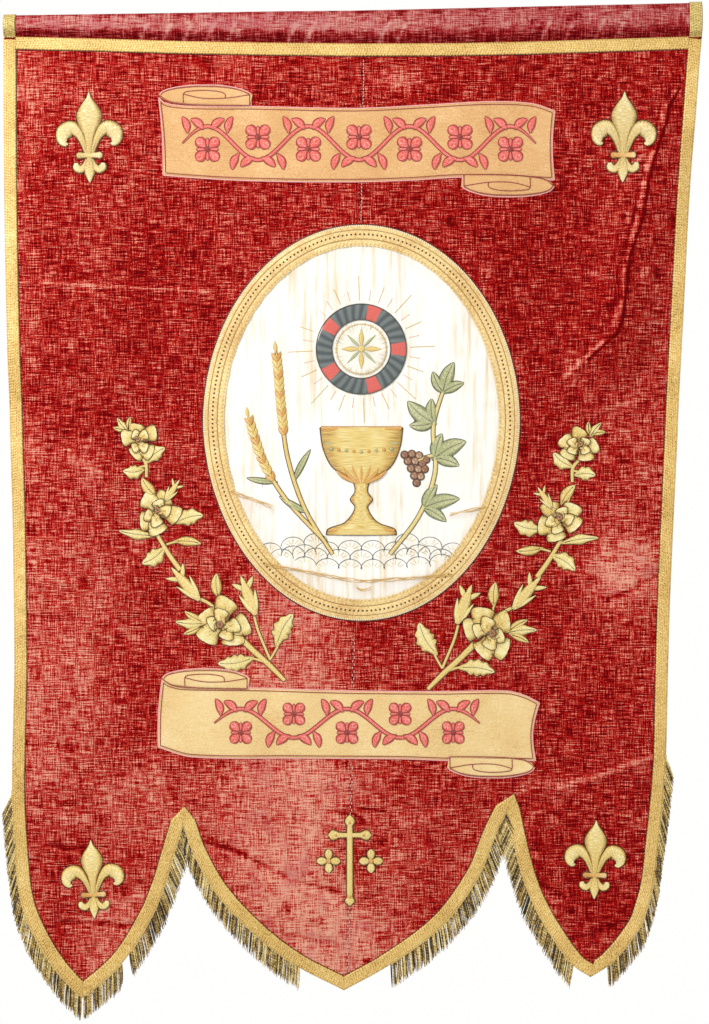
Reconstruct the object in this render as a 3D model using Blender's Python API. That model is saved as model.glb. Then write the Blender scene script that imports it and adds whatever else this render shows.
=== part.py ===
"""Church banner: a red velvet procession banner with three lobes, hung by its rod sleeve.

Sizes in the tables are millimetres, seen from the front: x to the right, z up, and "out" towards the viewer.
The origin is the middle of the sleeve's top edge. The front faces -Y.
"""

import math
import random

import bpy
import bmesh
from mathutils import Vector
from mathutils.geometry import delaunay_2d_cdt

MM = 0.001

# Thicknesses and the gap between pieces that lie on each other
VELVET_THICK = 2.0
BRAID_THICK = 1.2
SILK_THICK = 1.0
RIBBON_THICK = 1.1
SEAT_GAP = 0.3

# Layers, measured out from the back of the velvet
ON_VELVET = VELVET_THICK + SEAT_GAP
ON_SILK = ON_VELVET + SILK_THICK + SEAT_GAP

BRAID_WIDTH = 15.5
HEM_INSET = 4.2  # how far the velvet stops behind the galloon's edge where a fringe hangs
FRINGE_TOP = -850.0  # above this height the velvet reaches the galloon's edge
FRINGE_FULL = -915.0
NECK = 3.0  # how far the sleeve's seam reaches behind the top galloon

# The cloth is bent along a grid of fold lines of this pitch
GRID_X = 40.0
GRID_Z = 66.0
STRAIGHT_ABOVE = -66.0  # the rod keeps the cloth flat above this height
FOLDS_FULL_BELOW = -200.0
MERGE = 0.03

# Soft folds: a ridge from one point to another, its height out, and its half width
FOLDS = [
    # x0, z0, x1, z1, height, half_width
    (405, -98, 333, -400, 10, 34),
    (333, -400, 262, -470, 6, 34),
    (438, -200, 385, -470, -6, 42),
    (300, -120, 250, -330, -4, 45),
    (-330, -150, -345, -900, 4.5, 60),
    (-235, -240, -260, -760, -4, 60),
    (-440, -520, -430, -800, -5, 44),
    (0, -230, 0, -820, 3, 170),
    (250, -520, 265, -930, -4.5, 55),
    (335, -640, 350, -990, 5.5, 50),
    (-425, -487, -300, -506, -3.5, 40),
    (256, -972, 380, -929, 4, 38),
    (-420, -1080, -395, -1170, -4, 45),
    (-400, -1215, -290, -1235, 8, 70),
    (-160, -1060, -110, -1150, 4.5, 50),
    (-60, -1235, 40, -1230, -6, 80),
    (150, -1040, 100, -1140, -4, 45),
    (245, -1200, 345, -1190, 7, 60),
]

# The five corners of the lower edge: of the galloon's outer edge, of the velvet's hem, of the galloon's inner edge
CORNERS = {
    # name: (outer_x, outer_z, hem_x, hem_z, inner_x, inner_z)
    "tip_left": (-340.5, -1234.5, -340.2, -1228.6, -339.5, -1217.0),
    "notch_left": (-215.0, -1016.8, -215.3, -1003.5, -213.4, -995.6),
    "tip_centre": (-13.8, -1226.9, -13.8, -1222.1, -13.8, -1211.5),
    "notch_right": (190.4, -1001.3, 192.0, -988.4, 199.0, -980.0),
    "tip_right": (293.8, -1208.0, 293.8, -1202.9, 297.3, -1192.5),
}

# The galloon's outer edge. Each row is a point and the number of straight pieces up to the next one
EDGES = {
    # name: (start corner, end corner, rows of x, z, pieces)
    "side_left": (
        None,
        "tip_left",
        [
            (-439.5, -36.5, 1), (-438.8, -212, 2), (-436.3, -362, 2), (-432.5, -512, 2),
            (-428.8, -637, 2), (-426.5, -837, 2), (-428.8, -971, 2), (-426.5, -1035, 3),
            (-419.5, -1107, 2), (-405.3, -1148, 2), (-377, -1195, 2), (-340.5, -1234.5, 1),
        ],
    ),
    "lobe_left": (
        "tip_left",
        "notch_left",
        [
            (-340.5, -1234.5, 2), (-290, -1190, 2), (-253.5, -1132, 2), (-237.3, -1092, 1),
            (-229.3, -1065, 1), (-215, -1016.8, 1),
        ],
    ),
    "centre_left": (
        "notch_left",
        "tip_centre",
        [
            (-215, -1016.8, 1), (-200, -1057, 2), (-171.3, -1106, 2), (-120, -1160, 2),
            (-71.3, -1197, 2), (-13.8, -1226.9, 1),
        ],
    ),
    "centre_right": (
        "tip_centre",
        "notch_right",
        [
            (-13.8, -1226.9, 2), (45, -1194, 2), (108.8, -1146, 2), (153.8, -1085, 2),
            (176.3, -1030, 1), (190.4, -1001.3, 1),
        ],
    ),
    "lobe_right": (
        "notch_right",
        "tip_right",
        [
            (190.4, -1001.3, 1), (197.5, -1034, 1), (207.9, -1076, 1), (220.4, -1111, 1), (238.8, -1146, 2),
            (272, -1193, 1), (293.8, -1208, 1),
        ],
    ),
    "side_right": (
        "tip_right",
        None,
        [
            (293.8, -1208, 1), (319.5, -1191, 2), (354.6, -1148, 1), (365, -1123, 1), (373.3, -1092, 2),
            (379.5, -1036, 2), (385.6, -974, 2), (388.8, -912, 2), (393.8, -737, 2), (403.8, -525, 2),
            (412.5, -362, 2), (420, -212, 2), (431.3, -62, 1), (433.6, -36.5, 1),
        ],
    ),
}

# Rod sleeve: its section at places along the banner
SLEEVE = [
    # x, top, bottom, bulge
    (-438, -6.5, -33.0, 9.0),
    (-422, -6.0, -33.2, 9.2),
    (-330, -4.6, -35.2, 10.0),
    (-219, -3.0, -38.5, 9.2),
    (-110, -1.2, -40.4, 10.4),
    (0, 0.0, -41.6, 9.6),
    (120, 2.6, -41.2, 10.6),
    (220, 5.0, -39.2, 9.6),
    (330, 7.4, -35.6, 10.4),
    (417, 9.4, -32.8, 9.4),
    (434, 9.8, -32.2, 9.0),
]
SLEEVE_WALL = 1.9
SLEEVE_PIECE = 75.0  # longest straight piece along the sleeve

SEAM_TOP = 12.0  # where the middle seam starts and ends
SEAM_FOOT = -9.0

# Lengths of fringe. From and to are shares of the edge, and lean is how far the strands stand outwards
FRINGES = [
    # name, edge, from, to, lean_from, lean_to
    ("fringe_left_outer", "side_left", 0.768, 0.9965, 0.40, 0.0),
    ("fringe_left_tip", "lobe_left", 0.017, 0.257, 0.0, 0.10),
    ("fringe_left_inner", "lobe_left", 0.320, 0.985, 0.16, 0.0),
    ("fringe_centre_left", "centre_left", 0.012, 0.785, 0.0, 0.12),
    ("fringe_centre_right", "centre_right", 0.215, 0.985, 0.12, 0.0),
    ("fringe_right_inner", "lobe_right", 0.016, 0.885, 0.0, 0.10),
    ("fringe_right_outer", "side_right", 0.022, 0.256, 0.10, 0.34),
]
STRAND_PITCH = 6.0
STRAND_LENGTH = 28.0
STRAND_VARIES = 2.5
STRAND_TAPER = 0.55
STRAND_SWAY = 2.0
FRINGE_SEED = 7
FRINGE_BEHIND = 0.4  # how far behind the galloon's edge the strands start
HEADING_DEEP = 3.2
HEADING_OUT = (0.3, 1.0, 1.7)  # back, inner edge and front of the fringe's heading

# Padded embroidery
PADDING = {
    # kind: (thickness at the rim, height of the padding, how far in from the rim it is full)
    "cup": (0.9, 1.4, 14.0),
    "wheat": (0.9, 1.0, 6.0),
    "vine": (0.9, 1.0, 6.0),
    "curl": (RIBBON_THICK, 1.2, 9.0),
    "fleur": (1.0, 2.6, 8.0),
    "spray": (0.9, 2.0, 6.0),
    "quatrefoil": (1.0, 1.4, 5.0),
}
PADDING_ROUND = 0.6  # below 1 the padding rises steeply at the rim and levels off inside
DISC_THICK = 1.0
RING_THICK = 1.2
CROSS_THICK = 1.8

# Oval
OVAL_CENTRE = (8.1, -516.0)
OVAL_RADII = (198.0, 247.0)
OVAL_PIECES = 40
OVAL_NARROWS = 0.03  # the lower half is this share narrower
FRAME_WIDTH = 26.0
SILK_INSET = 3.0

# Ribbon panels: outline of the ribbon, and its two curled ends
RIBBONS = {
    # name: rows of x, z going round
    "ribbon_upper": [
        (-245.5, -110), (-225, -118), (-130, -120.5), (0, -123), (85, -119), (169, -114.5),
        (222, -117), (250, -126), (249.5, -212), (134, -209), (67, -213), (0, -215), (-90, -214.5),
        (-161, -212), (-240, -206),
    ],
    "ribbon_lower": [
        (-241, -836), (-222, -845), (-131, -847.5), (-8, -851), (110, -852), (189, -851.5), (231, -866.5),
        (223, -893.7), (226, -938.5), (117, -938), (58, -936), (-71, -935), (-204, -933.5), (-246, -921.5),
    ],
}
CURL_PIECES = 2
CURLS = {
    # name: rows of x, z, half width along the roll
    "curl_upper_left": [(-242, -101, 4), (-215, -106, 10.5), (-170, -107.5, 11), (-131, -109, 10)],
    "curl_upper_right": [(135, -222, 9.5), (175, -223.5, 11), (215, -223.5, 10.5), (246, -221, 5)],
    "curl_lower_left": [(-238, -829, 4), (-212, -835, 9), (-170, -836, 9.5), (-134, -837, 9)],
    "curl_lower_right": [(119, -949, 9), (155, -950, 10.5), (195, -950.5, 10), (222, -947.5, 5)],
}

# A fleur-de-lis of height 1 standing on its foot: strokes of x, z, half width, and whether mirrored
FLEUR = [
    # name, mirrored, rows
    (
        "middle_petal",
        False,
        [
            (0, 0.30, 0.035), (0, 0.48, 0.062), (0, 0.66, 0.135), (0, 0.76, 0.140), (0, 0.87, 0.085),
            (0, 1.0, 0.006),
        ],
    ),
    (
        "side_petal",
        True,
        [
            (0.03, 0.30, 0.030), (0.085, 0.45, 0.036), (0.17, 0.575, 0.058), (0.27, 0.595, 0.092),
            (0.325, 0.525, 0.066), (0.285, 0.435, 0.018),
        ],
    ),
    ("band", False, [(-0.165, 0.30, 0.030), (-0.08, 0.30, 0.050), (0.08, 0.30, 0.050), (0.165, 0.30, 0.030)]),
    ("foot", False, [(0, 0.30, 0.030), (0, 0.17, 0.062), (0, 0.08, 0.050), (0, 0.0, 0.006)]),
    (
        "side_foot",
        True,
        [(0.03, 0.28, 0.028), (0.085, 0.165, 0.030), (0.14, 0.135, 0.048), (0.18, 0.185, 0.024)],
    ),
]
FLEURS = [
    # name, x, foot_z, height, width_scale, tilt in degrees
    ("fleur_upper_left", -331.0, -216.0, 113.0, 0.90, -1.0),
    ("fleur_upper_right", 334.5, -215.0, 113.0, 0.84, 1.5),
    ("fleur_lower_left", -325.5, -1135.0, 97.0, 1.0, -3.0),
    ("fleur_lower_right", 299.0, -1111.0, 98.0, 0.94, 1.5),
]

# Rose sprays of the left side: stems, roses, leaves and buds. The right side mirrors them at its own place
SPRAY = {
    "upper": {
        "stems": [[(-270, -545, 2.4), (-262, -566, 2.4), (-262, -584, 2.2)]],
        "rose": (-270, -541, 18),
        "leaves": [  # x, z, length, half_width, angle
            (-262, -566, 29, 8.5, 20), (-262, -573, 25, 8.5, 178), (-281, -531, 21, 5.5, 132),
            (-274, -529, 18, 5, 98),
        ],
    },
    "middle": {
        "stems": [[(-263, -590, 2.2), (-252, -628, 2.4), (-243, -662, 2.4), (-221, -699, 2.2)]],
        "rose": (-247, -632, 20),
        "leaves": [
            (-258, -609, 27, 7.5, 108), (-237, -621, 28, 5, 76), (-233, -624, 28, 5, 30),
            (-231, -639, 36, 8.5, 10), (-247, -656, 44, 7.5, 184), (-239, -668, 38, 7, -4),
            (-237, -674, 35, 8.5, 222),
        ],
    },
    "lower": {
        "stems": [
            [
                (-233, -706, 4.5), (-214, -728, 5.5), (-190, -744, 3.0), (-168, -757, 2.6), (-143, -779, 2.6),
                (-112, -812, 2.8), (-88, -836, 1.8),
            ],
            [(-126, -748, 2.0), (-118, -775, 2.0), (-108, -804, 2.0), (-103, -824, 2.0)],
        ],
        "rose": (-163, -770, 22),
        "leaves": [
            (-182, -770, 40, 7, 178), (-181, -762, 32, 5.5, 148), (-165, -753, 45, 6, 92),
            (-124, -752, 44, 10, 106), (-109, -815, 60, 10.5, 58), (-107, -813, 57, 9, 180),
        ],
    },
}
SPRAY_MIRROR = {
    # group: (sum of the left x and the right x, shift in z)
    "upper": (11.0, -6.0),
    "middle": (9.0, -9.0),
    "lower": (3.0, -11.0),
}
LEAF_SHAPE = [(-0.1, 0.14), (0.28, 0.85), (0.6, 1.0), (1.0, 0.05)]  # share of length, of half width
ROSE_PETALS = 5
ROSE_POINTS = 3  # points of the outline for each petal
ROSE_SCALLOP = 0.12
ROSE_TOP = 0.55  # how far out the petals are highest, as a share of the radius
WIDE_LEAF = 8.0  # a leaf whose half width is less stays flat on top

# Cross with flared arms: rows of x, z, half width
CROSS = [
    [(-6.5, -1007.5, 5.0), (-6.5, -1018, 3.4), (-6.5, -1070, 3.2), (-6.5, -1106, 3.6), (-6.5, -1118, 5.5)],
    [(-31.5, -1031.5, 5.5), (-20, -1031.5, 3.2), (6, -1031.5, 3.2), (17.5, -1031.5, 5.5)],
]
QUATREFOIL_RADIUS = 15.0
QUATREFOIL_PETALS = 4
QUATREFOILS = [
    # name, x, z
    ("quatrefoil_left", -33.0, -1064.0),
    ("quatrefoil_right", 20.0, -1064.0),
]

# Embroidery on the silk: a cup with a disc above it, ears of wheat on its left and a vine on its right
CUP = [
    (8, -656, 44), (8, -649, 42), (8, -640, 20), (8, -622, 8), (8, -612, 14), (8, -602, 8), (8, -588, 12),
    (8, -572, 36), (8, -548, 48), (8, -522, 52),
]
DISC = (8.0, -424.0, 34.0)
RING = (8.0, -424.0, 37.0, 56.0)
DISC_PIECES = 16
WHEAT_STEMS = [
    [(-28, -680, 2.2), (-62, -625, 2.4), (-84, -560, 2.4), (-92, -500, 6.5), (-96, -452, 8.5), (-99, -420, 2.5)],
    [(-40, -662, 2.2), (-86, -612, 2.4), (-112, -570, 6.5), (-126, -532, 8.5), (-134, -502, 2.5)],
]
VINE_STEMS = [
    [(44, -680, 2.4), (80, -632, 2.6), (100, -578, 2.6), (98, -520, 2.4), (112, -470, 2.0)],
    [(100, -556, 2.2), (86, -560, 2.2), (72, -566, 2.2)],
]
VINE_LEAVES = [
    # x, z, length, half_width, angle
    (100, -560, 44, 17, 28), (98, -516, 42, 16, 140), (110, -478, 40, 14, 70), (86, -622, 46, 15, 14),
]
GRAPE_PIECES = 6
GRAPES = [
    # x, z, radius
    (68, -560, 11), (84, -566, 11), (75, -580, 11),
]


def smooth_line(rows):
    """The points of a smooth line through rows of x, z, pieces."""
    points = [Vector(row[:2]) for row in rows]
    line = []
    for i, row in enumerate(rows[:-1]):
        p0 = points[max(i - 1, 0)]
        p1, p2 = points[i], points[i + 1]
        p3 = points[min(i + 2, len(points) - 1)]
        for k in range(row[2]):
            line.append(catmull(p0, p1, p2, p3, k / row[2]))
    return line + [points[-1]]


def catmull(p0, p1, p2, p3, t):
    """A place on the smooth curve between p1 and p2, whose tangents suit uneven spacing."""
    d1 = max((p2 - p1).length, MERGE)
    m1 = (p2 - p0) * (d1 / max((p2 - p1).length + (p1 - p0).length, MERGE))
    m2 = (p3 - p1) * (d1 / max((p2 - p1).length + (p3 - p2).length, MERGE))
    a, b = t * t, t * t * t
    return p1 * (2 * b - 3 * a + 1) + m1 * (b - 2 * a + t) + p2 * (3 * a - 2 * b) + m2 * (b - a)


def offset_line(line, distance):
    """A line moved to its left by a distance, or by a function of its height."""
    moved = []
    for i, point in enumerate(line):
        before = (point - line[i - 1]).normalized() if i else None
        after = (line[i + 1] - point).normalized() if i < len(line) - 1 else None
        if before is None or after is None:
            along, stretch = before or after, 1.0
        else:
            along = (before + after).normalized()
            stretch = 1.0 / max(along.dot(after), 0.5)
        d = distance(point.y) if callable(distance) else distance
        moved.append(point + Vector((-along.y, along.x)) * d * stretch)
    return moved


def hem_inset(z):
    """How far the velvet stops behind the galloon's outer edge at a height."""
    share = min(max((FRINGE_TOP - z) / (FRINGE_TOP - FRINGE_FULL), 0.0), 1.0)
    return HEM_INSET * share


def corner_at(name, depth):
    """A corner's place at a depth into the cloth."""
    outer, hem, inner = (Vector(CORNERS[name][k : k + 2]) for k in (0, 2, 4))
    if depth <= HEM_INSET:
        return outer.lerp(hem, depth / HEM_INSET)
    return hem.lerp(inner, (depth - HEM_INSET) / (BRAID_WIDTH - HEM_INSET))


def edge_line(name, inset):
    """The line along an edge, moved into the cloth, with its corners on the mitres."""
    start, end, rows = EDGES[name]
    line = offset_line(smooth_line(rows), inset)
    for index, corner in ((0, start), (-1, end)):
        if corner:
            depth = inset(FRINGE_FULL) if callable(inset) else inset
            line[index] = corner_at(corner, depth)
    return line


def stroke(rows, pieces=1):
    """The outline of a brush stroke through rows of x, z, half width, and its middle line."""
    middle, widths = [], []
    points = [Vector((row[0], row[1])) for row in rows]
    for i in range(len(rows) - 1):
        p0, p1, p2 = points[max(i - 1, 0)], points[i], points[i + 1]
        p3 = points[min(i + 2, len(points) - 1)]
        for k in range(pieces):
            t = k / pieces
            ease = t * t * (3 - 2 * t)
            middle.append(catmull(p0, p1, p2, p3, t))
            widths.append(rows[i][2] * (1 - ease) + rows[i + 1][2] * ease)
    middle.append(points[-1])
    widths.append(rows[-1][2])
    left, right = [], []
    for i, point in enumerate(middle):
        along = middle[min(i + 1, len(middle) - 1)] - middle[max(i - 1, 0)]
        across = Vector((-along.y, along.x)).normalized() * widths[i]
        left.append(point + across)
        right.append(point - across)
    return right + left[::-1], middle[1:-1]


def disc(x, z, radius, pieces=8):
    """The outline of a round patch."""
    turn = 2 * math.pi / pieces
    return [Vector((x + radius * math.cos(i * turn), z + radius * math.sin(i * turn))) for i in range(pieces)]


def leaf(x, z, length, half_width, angle):
    """The outline and vein of a leaf that grows from a point."""
    along = Vector((math.cos(math.radians(angle)), math.sin(math.radians(angle))))
    rows = []
    for share, width in LEAF_SHAPE:
        place = Vector((x, z)) + along * length * share
        rows.append((place.x, place.y, half_width * width))
    return stroke(rows)


def rose(x, z, radius, petals=ROSE_PETALS):
    """The scalloped outline of a rose, and the places of its petals, which are raised."""
    outline, tops = [], [Vector((x, z))]
    for i in range(petals * ROSE_POINTS):
        angle = 2 * math.pi * i / (petals * ROSE_POINTS)
        reach = radius * (1 - ROSE_SCALLOP + ROSE_SCALLOP * math.cos(petals * angle))
        outline.append(Vector((x + reach * math.cos(angle), z + reach * math.sin(angle))))
    for i in range(petals):
        angle = 2 * math.pi * i / petals
        reach = radius * ROSE_TOP
        tops.append(Vector((x + math.cos(angle) * reach, z + math.sin(angle) * reach)))
    return outline, tops


def oval(inset):
    """The oval's outline, drawn in by an inset, a little narrower below."""
    points = []
    for i in range(OVAL_PIECES):
        angle = 2 * math.pi * i / OVAL_PIECES
        c, s = math.cos(angle), math.sin(angle)
        narrow = 1 - OVAL_NARROWS * max(-s, 0) * abs(c)
        x = OVAL_CENTRE[0] + (OVAL_RADII[0] - inset) * c * narrow
        points.append(Vector((x, OVAL_CENTRE[1] + (OVAL_RADII[1] - inset) * s)))
    return points


def fold_height(x, z):
    """How far out the folds carry the cloth at a node of the grid."""
    if z >= STRAIGHT_ABOVE:
        return 0.0
    fade = min((STRAIGHT_ABOVE - z) / (STRAIGHT_ABOVE - FOLDS_FULL_BELOW), 1.0)
    total = 0.0
    for x0, z0, x1, z1, height, half_width in FOLDS:
        start, run = Vector((x0, z0)), Vector((x1 - x0, z1 - z0))
        place = Vector((x, z)) - start
        share = min(max(place.dot(run) / run.length_squared, 0.0), 1.0)
        away = (place - run * share).length / (2 * half_width)
        if away < 1:
            total += height * math.cos(away * math.pi / 2) ** 2
    return total * fade


NODE_HEIGHTS = {}


def node_height(i, j):
    if (i, j) not in NODE_HEIGHTS:
        NODE_HEIGHTS[i, j] = fold_height(i * GRID_X, j * GRID_Z)
    return NODE_HEIGHTS[i, j]


def drape(x, z):
    """How far out the cloth lies at a point: flat between the fold lines of the grid."""
    i, j = math.floor(x / GRID_X), math.floor(z / GRID_Z)
    u, v = x / GRID_X - i, z / GRID_Z - j
    low, high = node_height(i, j), node_height(i + 1, j + 1)
    if v > u:
        side = node_height(i, j + 1)
        return low + v * (side - low) + u * (high - side)
    side = node_height(i + 1, j)
    return low + u * (side - low) + v * (high - side)


def world(x, z, out):
    """A point in metres from its place seen from the front and its distance out from the velvet's back."""
    return Vector((x * MM, (VELVET_THICK / 2 - out) * MM, z * MM))


def inside(point, outline):
    """Whether a point lies inside a closed outline."""
    found = False
    for a, b in zip(outline, outline[1:] + outline[:1]):
        if (a.y > point.y) != (b.y > point.y):
            if point.x < a.x + (point.y - a.y) * (b.x - a.x) / (b.y - a.y):
                found = not found
    return found


def grid_lines(points):
    """The grid's nodes and fold lines around some points."""
    i0, i1 = math.floor(min(p.x for p in points) / GRID_X), math.ceil(max(p.x for p in points) / GRID_X)
    j0, j1 = math.floor(min(p.y for p in points) / GRID_Z), math.ceil(max(p.y for p in points) / GRID_Z)
    index, nodes, lines = {}, [], []
    for i in range(i0, i1 + 1):
        for j in range(j0, j1 + 1):
            index[i, j] = len(nodes)
            nodes.append(Vector((i * GRID_X, j * GRID_Z)))
    for i, j in index:
        for step in ((1, 0), (0, 1), (1, 1)):
            other = (i + step[0], j + step[1])
            if other in index:
                lines.append((index[i, j], index[other]))
    return nodes, lines


def cut_cloth(outlines, holes, spines):
    """Triangles that fill the outlines and bend only on the grid's fold lines."""
    everything = [p for outline in outlines for p in outline]
    points, edges = grid_lines(everything)
    for outline in list(outlines) + list(holes):
        first = len(points)
        points += outline
        edges += [(first + k, first + (k + 1) % len(outline)) for k in range(len(outline))]
    points += spines
    flat, _, faces, _, _, _ = delaunay_2d_cdt(points, edges, [], 0, MERGE)
    kept = []
    for face in faces:
        middle = (flat[face[0]] + flat[face[1]] + flat[face[2]]) / 3
        if any(inside(middle, o) for o in outlines) and not any(inside(middle, h) for h in holes):
            kept.append(tuple(face))
    return flat, opened(kept)


def boundary(faces):
    """The directed edges that only one triangle uses."""
    used = {(a, b) for f in faces for a, b in ((f[0], f[1]), (f[1], f[2]), (f[2], f[0]))}
    return [(a, b) for a, b in used if (b, a) not in used]


def opened(faces):
    """The triangles without those that meet the rest only at a point of the outline."""
    while True:
        leaving = {}
        for a, b in boundary(faces):
            leaving.setdefault(a, []).append(b)
        pinched = [a for a, ends in leaving.items() if len(ends) > 1]
        if not pinched:
            return faces
        point = pinched[0]
        around = [f for f in faces if point in f]
        fan, grown = {around[0]}, True
        while grown:
            grown = [f for f in around if f not in fan and any(len(set(f) & set(g)) == 2 for g in fan)]
            fan.update(grown)
        rest = set(around) - fan
        smaller = fan if len(fan) <= len(rest) else rest
        faces = [f for f in faces if f not in smaller]


def near_edge(point, segments):
    """How far a point is from the nearest of some straight pieces."""
    best = math.inf
    for a, b in segments:
        run = b - a
        share = min(max((point - a).dot(run) / max(run.length_squared, 1e-9), 0.0), 1.0)
        best = min(best, (point - a - run * share).length)
    return best


def sheet(name, outlines, base, thick, paint, holes=(), spines=()):
    """One closed piece cut to the outlines and laid on the folds. Padding gives thick as a row of its table."""
    thick, puff, soft = (thick, 0.0, 1.0) if isinstance(thick, float) else thick
    flat, faces = cut_cloth(outlines, list(holes), list(spines))
    rim = boundary(faces)
    rim_points = {a for a, _ in rim}
    segments = [(flat[a], flat[b]) for a, b in rim] if puff else []
    bm = bmesh.new()
    front, back = {}, {}
    for i in sorted({v for f in faces for v in f}):
        x, z = flat[i]
        out = base + drape(x, z)
        lift = 0.0
        if puff and i not in rim_points:
            lift = puff * min(near_edge(flat[i], segments) / soft, 1.0) ** PADDING_ROUND
        front[i] = bm.verts.new(world(x, z, out + thick + lift))
        back[i] = bm.verts.new(world(x, z, out))
    for a, b, c in faces:
        bm.faces.new((front[a], front[b], front[c]))
        bm.faces.new((back[c], back[b], back[a]))
    for a, b in rim:
        bm.faces.new((front[a], back[a], back[b], front[b]))
    return finish(name, bm, paint)


def finish(name, bm, paint):
    """The object of a finished mesh, with its own material."""
    bmesh.ops.triangulate(bm, faces=bm.faces[:])
    mesh = bpy.data.meshes.new(name)
    bm.to_mesh(mesh)
    bm.free()
    mesh.shade_smooth()
    mesh.set_sharp_from_angle(angle=math.radians(40))
    obj = bpy.data.objects.new(name, mesh)
    bpy.context.scene.collection.objects.link(obj)
    mesh.materials.append(material(name, *paint))
    return obj


def material(name, colour, roughness, metallic):
    made = bpy.data.materials.new(name)
    made.use_nodes = True
    shader = made.node_tree.nodes["Principled BSDF"]
    shader.inputs["Base Color"].default_value = (*colour, 1)
    shader.inputs["Roughness"].default_value = roughness
    shader.inputs["Metallic"].default_value = metallic
    return made


# Paints: colour, roughness, metallic
VELVET = ((0.40, 0.03, 0.025), 0.8, 0.0)
GOLD = ((0.78, 0.55, 0.20), 0.5, 0.3)
GOLD_SILK = ((0.84, 0.66, 0.30), 0.5, 0.0)
GOLD_RIBBON = ((0.86, 0.62, 0.34), 0.6, 0.1)
FRINGE = ((0.45, 0.30, 0.12), 0.5, 0.4)
SILK = ((0.95, 0.93, 0.86), 0.6, 0.0)
SAGE = ((0.55, 0.56, 0.36), 0.7, 0.0)
SLATE = ((0.20, 0.22, 0.23), 0.7, 0.0)
WHITE = ((0.93, 0.91, 0.84), 0.7, 0.0)


def sleeve_row(x):
    """The sleeve's top, bottom and bulge at a place along it."""
    for before, after in zip(SLEEVE, SLEEVE[1:]):
        if x <= after[0]:
            share = (x - before[0]) / (after[0] - before[0])
            return [a + (b - a) * share for a, b in zip(before[1:], after[1:])]
    return list(SLEEVE[-1][1:])


def sleeve_front(x):
    """The front of the sleeve's section, from its seam up to its top: rows of out, z."""
    top, bottom, bulge = sleeve_row(x)
    mid = VELVET_THICK / 2
    return [
        (VELVET_THICK, bottom - NECK),
        (VELVET_THICK + 0.2, bottom + 1.5),
        (mid + 0.80 * bulge, bottom + 7.0),
        (mid + bulge, (top + bottom) / 2),
        (mid + 0.75 * bulge, top - 5.5),
        (mid, top),
    ]


def sleeve_inside(x):
    """The front of the channel in the sleeve's section."""
    top, bottom, bulge = sleeve_row(x)
    mid = VELVET_THICK / 2
    return [
        (mid + 0.4, bottom + 4.0),
        (mid + 1.6, bottom + 5.0),
        (mid + 0.80 * bulge - SLEEVE_WALL, bottom + 8.5),
        (mid + bulge - SLEEVE_WALL, (top + bottom) / 2),
        (mid + 0.75 * bulge - SLEEVE_WALL + 0.2, top - 6.5),
        (mid, top - SLEEVE_WALL),
    ]


def closed_ring(front):
    """A section closed by the mirror image of its front half."""
    mid = VELVET_THICK / 2
    return front + [(2 * mid - out, z) for out, z in front[-2::-1]]


def rod_sleeve():
    """The velvet tube at the head, open at both ends."""
    places = [SLEEVE[0][0]]
    for before, after in zip(SLEEVE, SLEEVE[1:]):
        pieces = math.ceil((after[0] - before[0]) / SLEEVE_PIECE)
        places += [before[0] + (after[0] - before[0]) * (k + 1) / pieces for k in range(pieces)]
    bm = bmesh.new()
    outer, inner = [], []
    for x in places:
        outer.append([bm.verts.new(world(x, z, out)) for out, z in closed_ring(sleeve_front(x))])
        inner.append([bm.verts.new(world(x, z, out)) for out, z in closed_ring(sleeve_inside(x))])
    count = len(outer[0])
    for rings, turn in ((outer, 1), (inner, -1)):
        for a, b in zip(rings, rings[1:]):
            for k in range(count):
                quad = (a[k], b[k], b[(k + 1) % count], a[(k + 1) % count])
                bm.faces.new(quad[::turn])
    for ring, hole, turn in ((outer[0], inner[0], 1), (outer[-1], inner[-1], -1)):
        for k in range(count):
            n = (k + 1) % count
            bm.faces.new((ring[k], ring[n], hole[n], hole[k])[::turn])
    return finish("rod_sleeve", bm, VELVET)


def head_braid(name, x0, x1):
    """The galloon's end that passes over the sleeve and a little down its back."""
    bm = bmesh.new()
    rings = []
    for x in (x0, x1):
        section = closed_ring(sleeve_front(x))
        line = [Vector((out, z)) for out, z in section[1:9]]
        near, far = offset_line(line, -SEAT_GAP), offset_line(line, -SEAT_GAP - BRAID_THICK)
        rings.append([bm.verts.new(world(x, p.y, p.x)) for p in near + far[::-1]])
    a, b = rings
    count = len(a)
    for k in range(count):
        n = (k + 1) % count
        bm.faces.new((a[k], a[n], b[n], b[k]))
    half = count // 2
    for k in range(half - 1):
        n = count - 1 - k
        bm.faces.new((a[k], a[n], a[n - 1], a[k + 1]))
        bm.faces.new((b[k + 1], b[n - 1], b[n], b[k]))
    return finish(name, bm, GOLD)


def top_line(x):
    """The height of the top galloon's upper edge."""
    return sleeve_row(x)[1]


def seam_x(z):
    """Where the middle seam runs at a height."""
    share = z / CORNERS["tip_centre"][1]
    return SEAM_TOP + (SEAM_FOOT - SEAM_TOP) * share


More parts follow.
